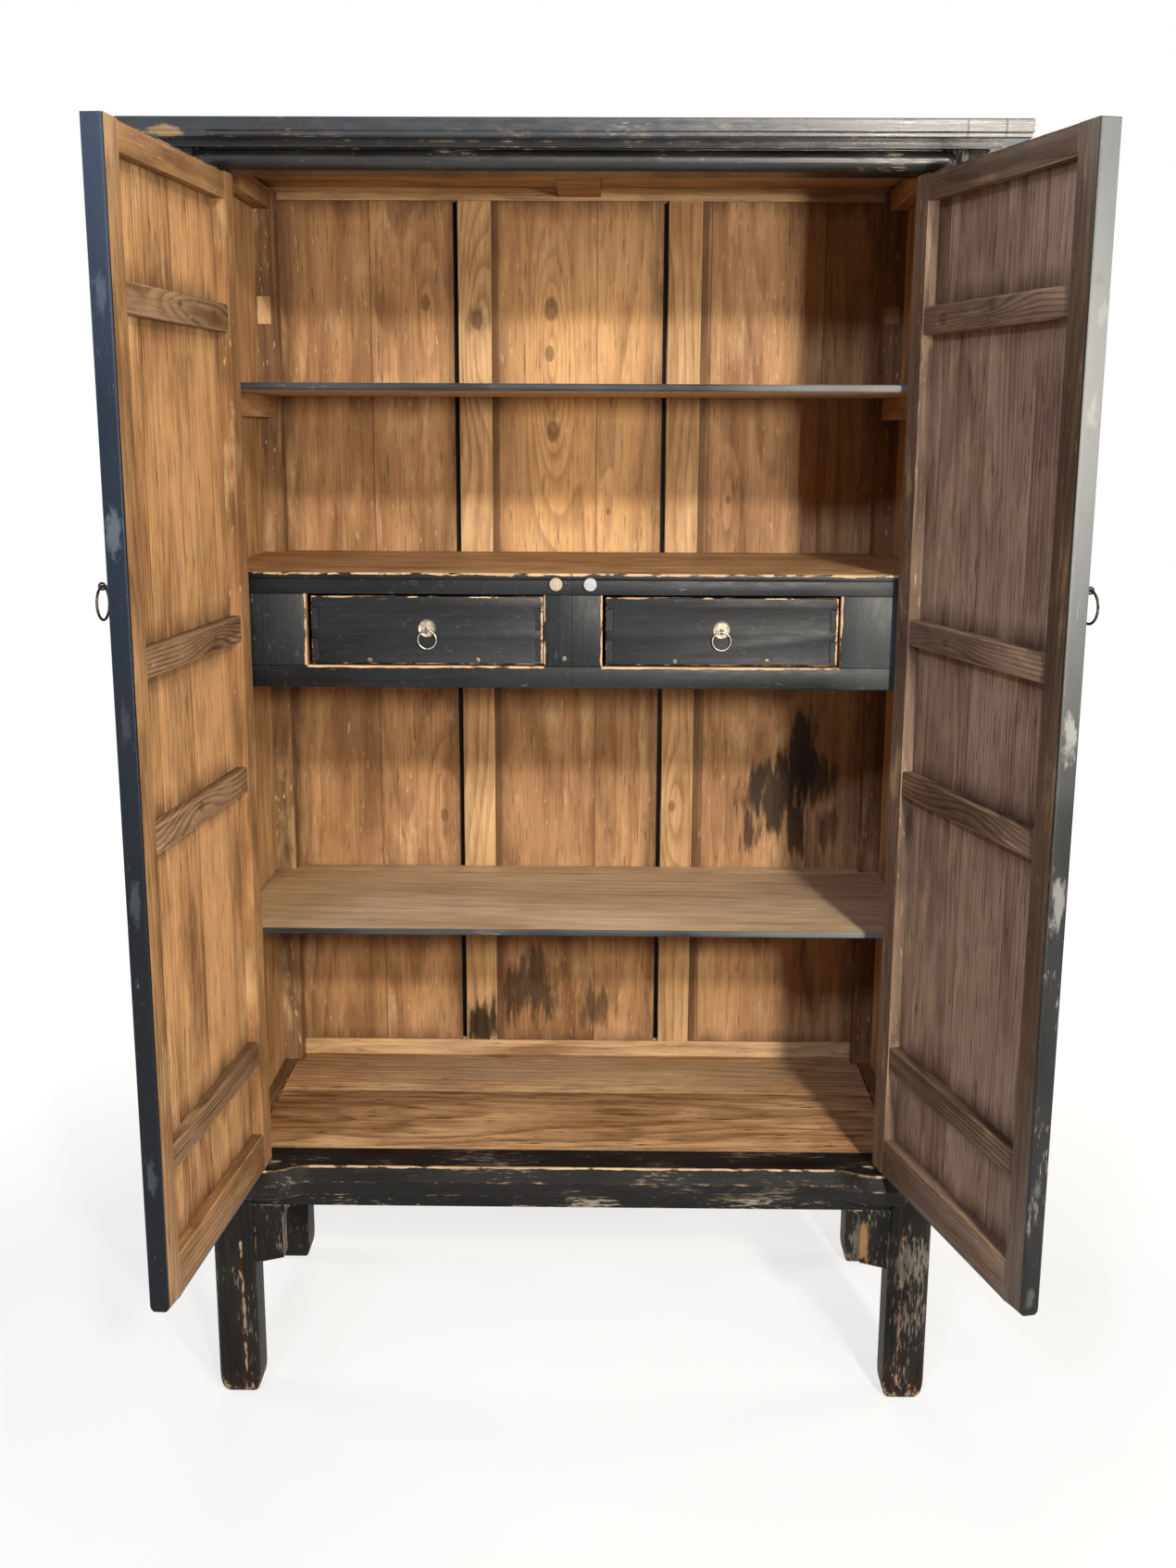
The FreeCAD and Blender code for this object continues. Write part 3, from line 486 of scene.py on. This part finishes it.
# Side frames: two rails and a panel on each side, lacquered outside and bare inside.
# The panel floats in grooves in the rails and posts.
dress(timber("lacquered_side_panel", "ZYX", [("X", -1, 518)], board=205, seed=0.2), "side_panels")
ease(timber("lacquered_side_rail", "YZX", [("X", -1, side_panel_inner + 1), ("Z", 1, floor_top)],
            **inner_post), 1.2, "side_top_rails", "side_bottom_rails")


# Back frame: two rails, two muntins and three panels of bare pine, never finished.
# Each panel has shrunk and left a dark gap beside its muntin.
panel_face = 231
muntin_face = 224
flange_face = 238
back_middle = 1080
field_middle, field_half = 1108, 705
damp = "#1d130d"
# The borders of each back field are darkened with dirt and painted shade. A dark strip of painted shade,
# with some grime, runs beside the right side of each muntin.
dress(timber("bare_back_panel", "ZXY", True, board=182, seed=0.846, ring=10, figure=0.5,
             light="#c4986b", dark="#87613d", flecks=0.45, dashes=0.5,
             fields=[((x, panel_face, field_middle), (half, 90, field_half))
                     for x, half in ((-342, 140), (-4, 137), (338, 143))],
             knots=[(-46, 1649, 13), (-48, 1580, 9), (-43, 1458, 12), (-248, 1658, 9), (-229, 816, 8),
                    (245, 1350, 5), (48, 1330, 4)],
             stains=[((330, panel_face, 855), (62, 40, 85), damp, 0.92),
                     ((378, panel_face, 935), (30, 40, 95), damp, 0.92),
                     ((408, panel_face, 880), (34, 40, 60), damp, 0.85),
                     ((372, panel_face, 800), (26, 40, 70), damp, 0.8),
                     ((296, panel_face, 790), (16, 40, 46), damp, 0.8),
                     ((425, panel_face, 800), (24, 40, 50), damp, 0.6),
                     ((-87, panel_face, 508), (64, 40, 78), "#241811", 0.8),
                     ((35, panel_face, 467), (40, 40, 50), "#2b1d13", 0.65)],
             pale=[((-4, panel_face, 1410), (220, 300, 400), 180, "#f3c284", 0.62)],
             shades=[((x, panel_face, back_middle), (9, 6, 900), 4, "#5b3d24", 0.7) for x in (-137, 199)]),
      "back_panels")
# The flange deep in the gap beside each muntin is laid near black: painted shade.
ease(timber("bare_muntin", "ZXY", True, board=400, ring=7, seed=0.12, light="#dcb684", dark="#a77d51",
            knots=[(-165, 1632, 11), (160, 835, 7)], pale_arris=0.95,
            stains=[((-169, muntin_face, 438), (36, 40, 56), "#17100b", 0.92),
                    ((-165, muntin_face, 1632), (30, 40, 30), "#5a4029", 0.6)],
            shades=[((0, flange_face, back_middle), (900, 5.5, 900), 1, "#080504", 1.0)]),
     1.5, "back_muntins")
ease(timber("bare_back_rail", "XZY", True, board=300, seed=0.55, light="#d9b586", dark="#8a633d",
            dashes=0.5), 1.2, "back_top_rail", "back_bottom_rail")


# Mortise plugs: two pale blocks wedged into old mortises in the rear posts, planed off just proud.
# Split softwood, chamfered round the face.
post_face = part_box("post_rear_left")[0][1]
plug_thickness = 0.004
plug_chamfer = 0.0012
plug_wood = timber("bare_plug", "ZXY", True, board=90, ring=5, light="#d8b488", dark="#a88055")
for name, low_x, high_x, low_z, high_z in (("left", -512, -490, 1622, 1665),
                                           ("right", 483, 507, 1626, 1654)):
    bpy.ops.object.select_all(action="DESELECT")
    middle = ((low_x + high_x) / 2000, post_face, (low_z + high_z) / 2000)
    bpy.ops.mesh.primitive_cube_add(size=1, location=middle)
    plug = bpy.context.object
    plug.name = f"mortise_plug_{name}"
    plug.scale = ((high_x - low_x) / 1000, plug_thickness, (high_z - low_z) / 1000)
    bpy.ops.object.transform_apply(location=True, rotation=True, scale=True)
    choose(plug, "FACE", lambda face: face.normal.y < -0.9)
    bpy.ops.mesh.bevel(offset=plug_chamfer, segments=2)
    bpy.ops.object.mode_set(mode="OBJECT")
    plug.data.materials.append(plug_wood)
    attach(plug, "carcass")


# Floor, shelf bearers and the two shelves: bare boards that lie on bearers between the posts.
# The shelves are loose, and their front edges are blackened by hands.
ease(timber("bare_floor_board", "XYZ", True, board=300, seed=0.8333, ring=6, figure=0.75, dashes=1.0,
            spread=0.24, light="#e4ba8a", dark="#9f754a",
            stains=[((0, 150, floor_top), (700, 105, 60), "#a28a6c", 0.6)]), 0.8, "floor_boards")
ease(timber("bare_bearer", "YZX", True, board=200, seed=0.7), 1.0, "shelf_bearers")
upper_edge_back, lower_edge_back = -213, -163
# The shelves' black front edges are laid paler grey towards their right ends: painted sheen.
shelf_wood = dict(board=500, ring=9, light="#e8d0ad", dark="#c0a680", late="#8b6d4a", figure=0.35, rub=0.3,
                  scuffs=0.4, black="#26292b", faded="#494c4d", washes=[("X", 150, 420, "#83847f", 0.8)])
ease(timber("bare_shelf", "XYZ", [("Y", 1, upper_edge_back)], seed=0.25, **shelf_wood), 1.5, "upper_shelf")
ease(timber("bare_lower_shelf", "XYZ", [("Y", 1, lower_edge_back)], seed=0.65, **shelf_wood), 1.5,
     "lower_shelf")


# Drawer unit: a black face frame of two rails and three stiles, with a bare deck and dust board behind
# it. Drawers have run in the two openings for so long that their edges are rubbed to the wood.
# The unit's black faces, drawer fronts included, are laid paler grey towards the right end: painted sheen.
unit_black = dict(black="#07090b", faded="#191e22", scuffs=-0.3, scratches=0.16, rub=0.1, board=300,
                  gloss=0.3, polish=0.4, ripple=0.5, washes=[("X", 330, 520, "#525554", 0.75)])
unit_face = -218
unit_middle = 1184
deck_top = 1266
opening_low = 1133.5
opening_inner, opening_outer = 41.5, 376.5
opening_middle = (opening_inner + opening_outer) / 2
opening_half = (opening_outer - opening_inner) / 2
frame_back = ("Y", 1, unit_face + 4)
butt_joint = [((-2, unit_face, unit_middle), (1.2, 9, 80))]
ease(timber("lacquered_unit_top_rail", "XZY", [frame_back], joints=butt_joint, **unit_black), 1.2,
     "unit_top_rail")
ease(timber("lacquered_unit_bottom_rail", "XZY", [frame_back], joints=butt_joint,
            worn=[((side * opening_middle, unit_face, opening_low), (opening_half + 3, 30, 5), 3.0, 0.36)
                  for side in (-1, 1)], **unit_black), 1.2, "unit_bottom_rail")
ease(timber("lacquered_unit_stile", "ZXY", [frame_back], joints=butt_joint,
            worn=[((place, unit_face, unit_middle), (5, 30, 53), 3.0, 0.3)
                  for place in (-opening_outer, -opening_inner, opening_inner, opening_outer)],
            **unit_black), 1.2, "unit_stiles")
ease(timber("bare_deck", "XYZ", [("Z", 1, deck_top - 4), ("Y", 1, unit_face + 2)], ring=6, seed=0.6,
            light="#dfb382", dark="#9a7046", dashes=0.5,
            worn=[((0, unit_face, deck_top), (600, 6, 8), 4, 0.3)], **unit_black), 1.5, "unit_deck")
dress(timber("bare_drawer_timber", "XYZ", True, board=220, seed=0.9), "unit_dust_board", "drawer_guides",
      "drawer_divider", "top_batten")


def felt_pad(name):
    # Pressed wool felt, cream with age on the left and nearly white on the right: matt and a little fuzzy.
    material, tree = blank(name)
    place = add(tree, "TexCoord", {})
    parts = add(tree, "SeparateXYZ", {0: place.outputs["Object"]})
    newer = calc(tree, "GREATER_THAN", parts.outputs["X"], 0.0)
    fuzz = add(tree, "TexNoise", {"Vector": place.outputs["Object"], "Scale": 450.0, "Detail": 3.0})
    dust = ramp(tree, fuzz, 0.3, 0.7, low=0.75, high=1.1)
    colour = tint(tree, newer, "#b3a68e", "#b4b8ba")
    colour = tint(tree, 1.0, colour, dust, blend_type="MULTIPLY")
    shader = skin(tree, (colour, 0.9, fuzz), 0.2)
    add(tree, "OutputMaterial", {"Surface": shader})
    return material


ease(felt_pad("wool_felt"), 1.2, "stop_pads")


# Cornice and bed moulding: a stepped cap of mitred members round a floating top panel.
# Planed, lacquered and pegged down on the posts; a short piece was let into the front near its right end.
cornice_face = -294
cornice_under = 1833
cornice_shine = dict(rub=0.34, scuffs=0.1, gloss=0.65, polish=0.22, ripple=0.5)
# The cornice front is laid paler towards its right end: painted sheen.
dress(timber("lacquered_cornice", "XZY", (), black="#11151a", faded="#292f35",
             washes=[("X", 150, 560, "#4c4945", 0.45)],
             joints=[((x, cornice_face, 1838), (1.2, 60, 13)) for x in (505, 554)],
             marks=[((-522, cornice_face, 1831), (24, 40, 9), "#9a7c58", 0.8)], **cornice_shine),
      "cornice_front")
dress(timber("lacquered_bed_moulding", "XZY", (), **cornice_shine), "bed_moulding")
dress(timber("lacquered_cornice_back", "XZY", [("Z", -1, cornice_under), ("Y", -1, 240)], rub=0.34,
             board=200), "cornice_back")
dress(timber("lacquered_cornice_end", "YZX", [("Z", -1, cornice_under), ("X", -1, 524)], board=200,
             **cornice_shine), "cornice_sides")
ease(timber("lacquered_top_panel", "XYZ", [("Z", -1, cornice_under + 3)], board=230, seed=0.4,
            light="#dcb98b", dark="#a57d52", gloss=0.5, polish=0.3, ripple=0.6), 1.0, "top_panel")


# Drawers: a lacquered front dovetailed to bare sides, with a bare back and bottom.
# The front's edges are rubbed where they meet the frame.
front_back = -206
front_low, front_high = 1136.2, 1231.5
front_half = 163.2
for hand, middle in (("left", -206.0), ("right", 209.5)):
    fitted = dict(origin=(middle, 0, 0),
                  worn=[((0, unit_face, front_high), (front_half + 1, 30, 3.2), 2, 0.24),
                        ((0, unit_face, front_low), (front_half + 1, 30, 2.4), 1.5, 0.24),
                        ((front_half, unit_face, unit_middle), (4, 30, 49), 2.5, 0.32),
                        ((-front_half, unit_face, unit_middle), (2, 30, 48), 1.5, 0.2)])
    ease(timber(f"drawer_{hand}_front_timber", "XZY", [("Y", 1, front_back)], **fitted, **unit_black), 1.5,
         f"drawer_{hand}_front")
    dress(timber(f"drawer_{hand}_side_timber", "YZX", [("Y", 1, front_back)], seed=0.15, **fitted,
                 **unit_black), f"drawer_{hand}_sides")
dress(timber("bare_drawer_box", "XZY", True, board=200, seed=0.65), "drawer_left_back", "drawer_right_back",
      "drawer_left_bottom", "drawer_right_bottom")


def old_metal(name, bright, dull, rough_low, rough_high):
    # Hand-worked metal that is handled every day: rubbed bright in places, dull brown in the hollows.
    material, tree = blank(name)
    place = add(tree, "TexCoord", {})
    bloom = add(tree, "TexNoise", {"Vector": place.outputs["Object"], "Scale": 160.0, "Detail": 4.0})
    pits = add(tree, "TexNoise", {"Vector": place.outputs["Object"], "Scale": 700.0, "Detail": 2.0})
    tone = ramp(tree, bloom, 0.38, 0.62)
    colour = tint(tree, tone, bright, dull)
    rough = ramp(tree, bloom, 0.3, 0.7, low=rough_low, high=rough_high)
    relief = add(tree, "Bump", {"Strength": 0.4, "Distance": 0.0003, "Height": pits})
    shader = add(tree, "BsdfPrincipled", {"Base Color": colour, "Roughness": rough, "Normal": relief})
    shader.inputs["Metallic"].default_value = 1.0
    add(tree, "OutputMaterial", {"Surface": shader})
    return material


dress(old_metal("aged_brass", "#b0a897", "#857d6d", 0.42, 0.58), "drawer_left_pull", "drawer_right_pull")
dress(old_metal("aged_brass_ring", "#c2bcb0", "#8a8478", 0.3, 0.45), "drawer_left_ring",
      "drawer_right_ring")


# Nail heads: hand-made iron nails through the drawer fronts and the middle stile into the timber behind.
# Each is a short round slug with its face drawn to a low dome, rubbed to a dull grey-brown.
nail_iron = old_metal("worn_nail_iron", "#8d7f6c", "#50463b", 0.5, 0.7)
nail_radius = 0.0034
nail_rise = 0.0012
dome_share = 0.4


def nail_heads(name, body, face_y, places):
    heads = []
    for x, z in places:
        bpy.ops.object.select_all(action="DESELECT")
        bpy.ops.mesh.primitive_cylinder_add(vertices=18, radius=nail_radius, depth=nail_rise,
                                            location=(x / 1000, face_y, z / 1000),
                                            rotation=(math.pi / 2, 0, 0))
        head = bpy.context.object
        bpy.ops.object.transform_apply(location=True, rotation=True, scale=True)
        choose(head, "FACE", lambda face: face.normal.y < -0.9)
        bpy.ops.mesh.inset(thickness=dome_share * nail_radius)
        bpy.ops.transform.translate(value=(0, -dome_share * nail_rise, 0))
        bpy.ops.object.mode_set(mode="OBJECT")
        heads.append(head)
    bpy.ops.object.select_all(action="DESELECT")
    for head in heads:
        head.select_set(True)
    bpy.context.view_layer.objects.active = heads[0]
    if len(heads) > 1:
        bpy.ops.object.join()
    bpy.ops.object.shade_smooth_by_angle(angle=math.radians(50))
    heads[0].name = name
    heads[0].data.materials.append(nail_iron)
    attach(heads[0], body)


left_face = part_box("drawer_left_front")[0][1]
right_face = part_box("drawer_right_front")[0][1]
stile_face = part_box("unit_stiles")[0][1]
nail_heads("drawer_left_nails", "drawer_left", left_face, [(-288, 1141.5), (-135, 1142)])
nail_heads("drawer_right_nails", "drawer_right", right_face, [(144, 1142), (274, 1143)])
nail_heads("unit_nails", "carcass", stile_face, [(-12, 1144.8)])


# Doors: a frame of two stiles and two rails round a flush panel, held flat by four battens.
# Black outside and on the free edge, bare and brown inside, and hung on wooden pintles.
pivot_x = 464.5
pivot_y = -237
door_low, door_high = 387, 1787
door_middle = (door_low + door_high) / 2
free_edge = 463.5
panel_middle, panel_half = 227, 191
frame_inside = ("Y", 1, -10)
above_foot = ("Z", 1, door_low + 2)
below_head = ("Z", -1, door_high - 2)
# The right door's wood is laid darker and greyer than the left's: partly dust, partly painted shade and
# sheen.
left_wood = dict(light="#b98f62", dark="#744f30", late="#482d18", board=300)
right_wood = dict(light="#937962", dark="#5c4939", late="#3a2a1f", board=300)
left_panel = dict(light="#d8a673", dark="#855b36")
right_panel = dict(light="#c9ab90", dark="#84695a")
left_batten = dict(light="#a98868", dark="#6a4f38")
right_batten = dict(light="#9c836d", dark="#5a483a")
# The free edges' colours by height are painted reflection: the left edge blue-black, paler at the top and
# darker lower down, and the right edge pale grey over its upper part.
edge_half = (1.6, 40, 900)
left_edge = dict(gloss=0.22, rub=0.36, scuffs=0.4, scuff="#6f757b",
                 sheen_box=((free_edge, 0, door_middle), edge_half, 0.4, 1.0),
                 washes=[("Z", 100, 200, "#19222f", 0.95), ("Z", 1480, 1760, "#3c485a", 0.6),
                         ("Z", 1320, 900, "#0a0d11", 0.9)],
                 marks=[((free_edge, 0, 1600), (9, 10, 30), "#596370", 0.4),
                        ((free_edge, 0, 1345), (9, 12, 30), "#66707a", 0.5),
                        ((free_edge, 0, 1125), (9, 8, 26), "#5b6167", 0.2),
                        ((free_edge, 0, 915), (9, 8, 34), "#666c72", 0.25),
                        ((free_edge, 0, 570), (9, 8, 30), "#53585d", 0.4)])
right_edge = dict(gloss=0.3, rub=0.36, scuffs=0.55, scuff="#85837c",
                  sheen_box=((-free_edge, 0, door_middle), edge_half, 0.4, 1.0),
                  washes=[("Z", 1000, 1400, "#686a68", 0.95), ("Z", 1280, 1500, "#747572", 0.9),
                          ("Z", 1560, 1760, "#5d6161", 0.85)],
                  marks=[((-free_edge, 0, 925), (9, 9, 44), "#84857f", 0.65),
                         ((-free_edge, 0, 1120), (9, 10, 34), "#98988f", 0.6),
                         ((-free_edge, 0, 1480), (9, 8, 24), "#8f8f88", 0.5),
                         ((-free_edge, 2, 1622), (6, 6, 12), "#55524c", 0.3),
                         ((-free_edge, -3, 1585), (6, 7, 16), "#8f8f8a", 0.35),
                         ((-free_edge, 1, 1462), (6, 5, 9), "#4f4c47", 0.35),
                         ((-free_edge, 0, 560), (9, 7, 22), "#6c6d68", 0.4),
                         ((-free_edge, 0, 412), (9, 8, 16), "#64655f", 0.4)])
tip_round = 8.0
tip_cuts = (8.0, 5.0, 3.0, 1.5, 0.5)


def wear_tip(piece, hinge, turn):
    # The lower end of a free stile, worn round across its thickness by the sill it is lifted over.
    shut = Matrix.Rotation(math.radians(-turn), 3, "Z")
    across = shut.transposed() @ Vector((0, 1, 0))
    bpy.ops.object.mode_set(mode="EDIT")
    for height in tip_cuts:
        bpy.ops.mesh.select_all(action="SELECT")
        bpy.ops.mesh.bisect(plane_co=(0, 0, (door_low + height) / 1000), plane_no=(0, 0, 1))
    bpy.ops.object.mode_set(mode="OBJECT")
    heights = {round(vertex.co.z * 1000 - door_low, 2) for vertex in piece.data.vertices}
    for height in sorted(height for height in heights if 0 <= height < tip_round):
        inset = tip_round - math.sqrt(tip_round ** 2 - (tip_round - height) ** 2)
        for face in (-1, 1):
            def at_tip(vertex):
                place = shut @ (vertex.co * 1000 - hinge)
                level = abs(place.z - door_low - height) < 0.01
                return level and abs(place.x) > free_edge - 10 and place.y * face > 0
            choose(piece, "VERT", at_tip)
            bpy.ops.transform.translate(value=across * (-face * inset / 1000))
            bpy.ops.object.mode_set(mode="OBJECT")


field_heights = ((443, 551.5), (587.5, 960.5), (996.5, 1173), (1209, 1584.5), (1620.5, 1753))
for hand, side, turn, edge_look, frame_wood, stile_light, panel_wood, batten_wood in (
        ("left", -1, -94.7, left_edge, left_wood, "#d2a270", left_panel, left_batten),
        ("right", 1, 104.5, right_edge, right_wood, "#ab8f77", right_panel, right_batten)):
    hung = dict(origin=(side * pivot_x, pivot_y, 0), turn=turn)
    # The panel's fields: their borders along the frame and battens are darkened with dirt and painted
    # shade.
    fields = [((-side * panel_middle, 0, (low + high) / 2), (panel_half, 90, (high - low) / 2))
              for low, high in field_heights]
    ease(timber(f"door_{hand}_free_stile_timber", "ZXY",
                [("X", -1, free_edge - 4), frame_inside, above_foot], seed=0.3, polish=0.4, grime=0.8,
                **edge_look, **frame_wood, **hung), 1.5, f"door_{hand}_free_stile",
         shape=lambda piece: wear_tip(piece, Vector((side * pivot_x, pivot_y, 0)), turn))
    # Each hinge stile is darkened over its upper part: painted shade.
    dress(timber(f"door_{hand}_hinge_stile_timber", "ZXY", [frame_inside, above_foot], seed=0.6,
                 scraped=0.8, light=stile_light, dark=frame_wood["dark"], late=frame_wood["late"],
                 board=300, flecks=0.6,
                 shades=[((-side * 16, 0, 1480), (60, 60, 480), 200, frame_wood["late"], 0.6)],
                 **hung), f"door_{hand}_hinge_stile")
    ease(timber(f"door_{hand}_rail_timber", "XZY", [frame_inside, above_foot, below_head],
                seed=0.8, figure=0.6, **frame_wood, **hung), 1.2, f"door_{hand}_rails")
    dress(timber(f"door_{hand}_panel_timber", "ZXY", [("Y", 1, -8)], board=128, ring=8, figure=0.4,
                 seed=0.45 + 0.1 * side, dashes=0.7, spread=0.26, scraped=0.6, streaks=0.22,
                 fields=fields, late=frame_wood["late"], **panel_wood, **hung), f"door_{hand}_panel")
    ease(timber(f"door_{hand}_batten_timber", "XZY", True, ring=6, seed=0.2 + 0.1 * side, figure=0.9,
                knots=[(1602, -side * 94, 9), (1608, -side * 230, 6), (985, -side * 240, 8),
                       (1190, -side * 150, 6)],
                pale_arris=0.35, late=frame_wood["late"], board=300, **batten_wood, **hung),
         1.5, f"door_{hand}_battens")
dress(old_metal("dark_iron", "#5c544b", "#241f1b", 0.4, 0.6), "door_left_pull", "door_right_pull",
      "door_left_ring", "door_right_ring")


# Floor, lamps and camera: a pale seamless floor that keeps a soft shadow, four lamps in front, three
# behind and beside that show the other sides, and the camera where the photograph was taken from.
def looked_at(tree):
    # 1 on rays that show floor or room, straight or in a reflection, and 0 on those that only light.
    path = add(tree, "LightPath", {})
    seen = calc(tree, "MAXIMUM", path.outputs["Is Camera Ray"], path.outputs["Is Glossy Ray"])
    return calc(tree, "MAXIMUM", seen, path.outputs["Is Transmission Ray"])


def white_ground(name, keeps_shadow):
    material, tree = blank(name)
    place = add(tree, "TexCoord", {})
    away = calc_vector(tree, "LENGTH", place.outputs["Object"]).outputs["Value"]
    fade = ramp(tree, away, 0.9, 2.6, low=1.0 - keeps_shadow, high=1.0)
    glow = calc(tree, "MULTIPLY", looked_at(tree), fade)
    matt = add(tree, "BsdfDiffuse", {"Color": linear("#8c8c8a")})
    light = add(tree, "Emission", {"Color": (1, 1, 1, 1), "Strength": glow})
    both = add(tree, "AddShader", {0: matt, 1: light})
    add(tree, "OutputMaterial", {"Surface": both})
    return material


bpy.ops.mesh.primitive_plane_add(size=30)
floor = bpy.context.object
floor.name = "floor"
floor.data.materials.append(white_ground("pale_floor", 0.32))

world = bpy.context.scene.world or bpy.data.worlds.new("room")
bpy.context.scene.world = world
world.use_nodes = True
world_tree = world.node_tree
world_tree.nodes.clear()
world_strength = ramp(world_tree, looked_at(world_tree), 0.0, 1.0, low=0.06, high=1.0)
world_light = add(world_tree, "Background", {"Color": (1, 1, 1, 1), "Strength": world_strength})
add(world_tree, "OutputWorld", {"Surface": world_light})

for name, spot, target, wide, high, watts, colour in (
        ("high_lamp", (1.5, -5.4, 3.45), (0, 0, 0.9), 0.3, 0.3, 190, "#fff4e6"),
        ("near_lamp", (1.0, -2.6, 1.6), (-0.1, 0, 1.0), 0.2, 0.2, 54, "#fff6ea"),
        ("side_lamp", (2.7, -2.8, 1.7), (0, -0.3, 1.0), 0.8, 1.8, 30, "#ffffff"),
        ("cool_lamp", (-1.2, -4.8, 3.5), (0.2, 0, 1.0), 0.5, 0.5, 115, "#d3e2ff"),
        ("back_lamp", (-0.8, 4.6, 2.4), (0, 0.25, 1.0), 2.0, 2.0, 105, "#fff6ec"),
        ("left_lamp", (-4.4, 0.9, 2.2), (-0.5, 0, 1.0), 1.6, 1.6, 70, "#ffffff"),
        ("right_lamp", (4.4, 0.9, 2.2), (0.5, 0, 1.0), 1.6, 1.6, 60, "#ffffff")):
    aim = (Vector(target) - Vector(spot)).to_track_quat("-Z", "Y").to_euler()
    bpy.ops.object.light_add(type="AREA", location=spot, rotation=aim)
    lamp = bpy.context.object
    lamp.name = name
    lamp.data.shape = "RECTANGLE"
    lamp.data.size = wide
    lamp.data.size_y = high
    lamp.data.energy = watts
    lamp.data.color = linear(colour)[:3]
    # The cool lamp fills the shadows and leaves no glint of its own.
    lamp.visible_glossy = name != "cool_lamp"

camera_place = (0.051175, -2.620647, 1.459159)
yaw, pitch, roll = -0.010666, 0.229271, 0.0047626
ahead = Vector((math.sin(yaw) * math.cos(pitch), math.cos(yaw) * math.cos(pitch), -math.sin(pitch)))
right = Vector((math.cos(yaw), -math.sin(yaw), 0))
up = right.cross(ahead)
right_rolled = right * math.cos(roll) + up * math.sin(roll)
up_rolled = up * math.cos(roll) - right * math.sin(roll)
bpy.ops.object.camera_add()
camera = bpy.context.object
camera.name = "camera"
turned = Matrix((right_rolled, up_rolled, -ahead)).transposed().to_4x4()
camera.matrix_world = Matrix.Translation(camera_place) @ turned
camera.data.sensor_fit = "VERTICAL"
camera.data.sensor_height = 36
camera.data.lens = 39.106
camera.data.shift_x = -0.00138
camera.data.shift_y = 0.02831
bpy.context.scene.camera = camera
bpy.context.scene.view_settings.view_transform = "Standard"
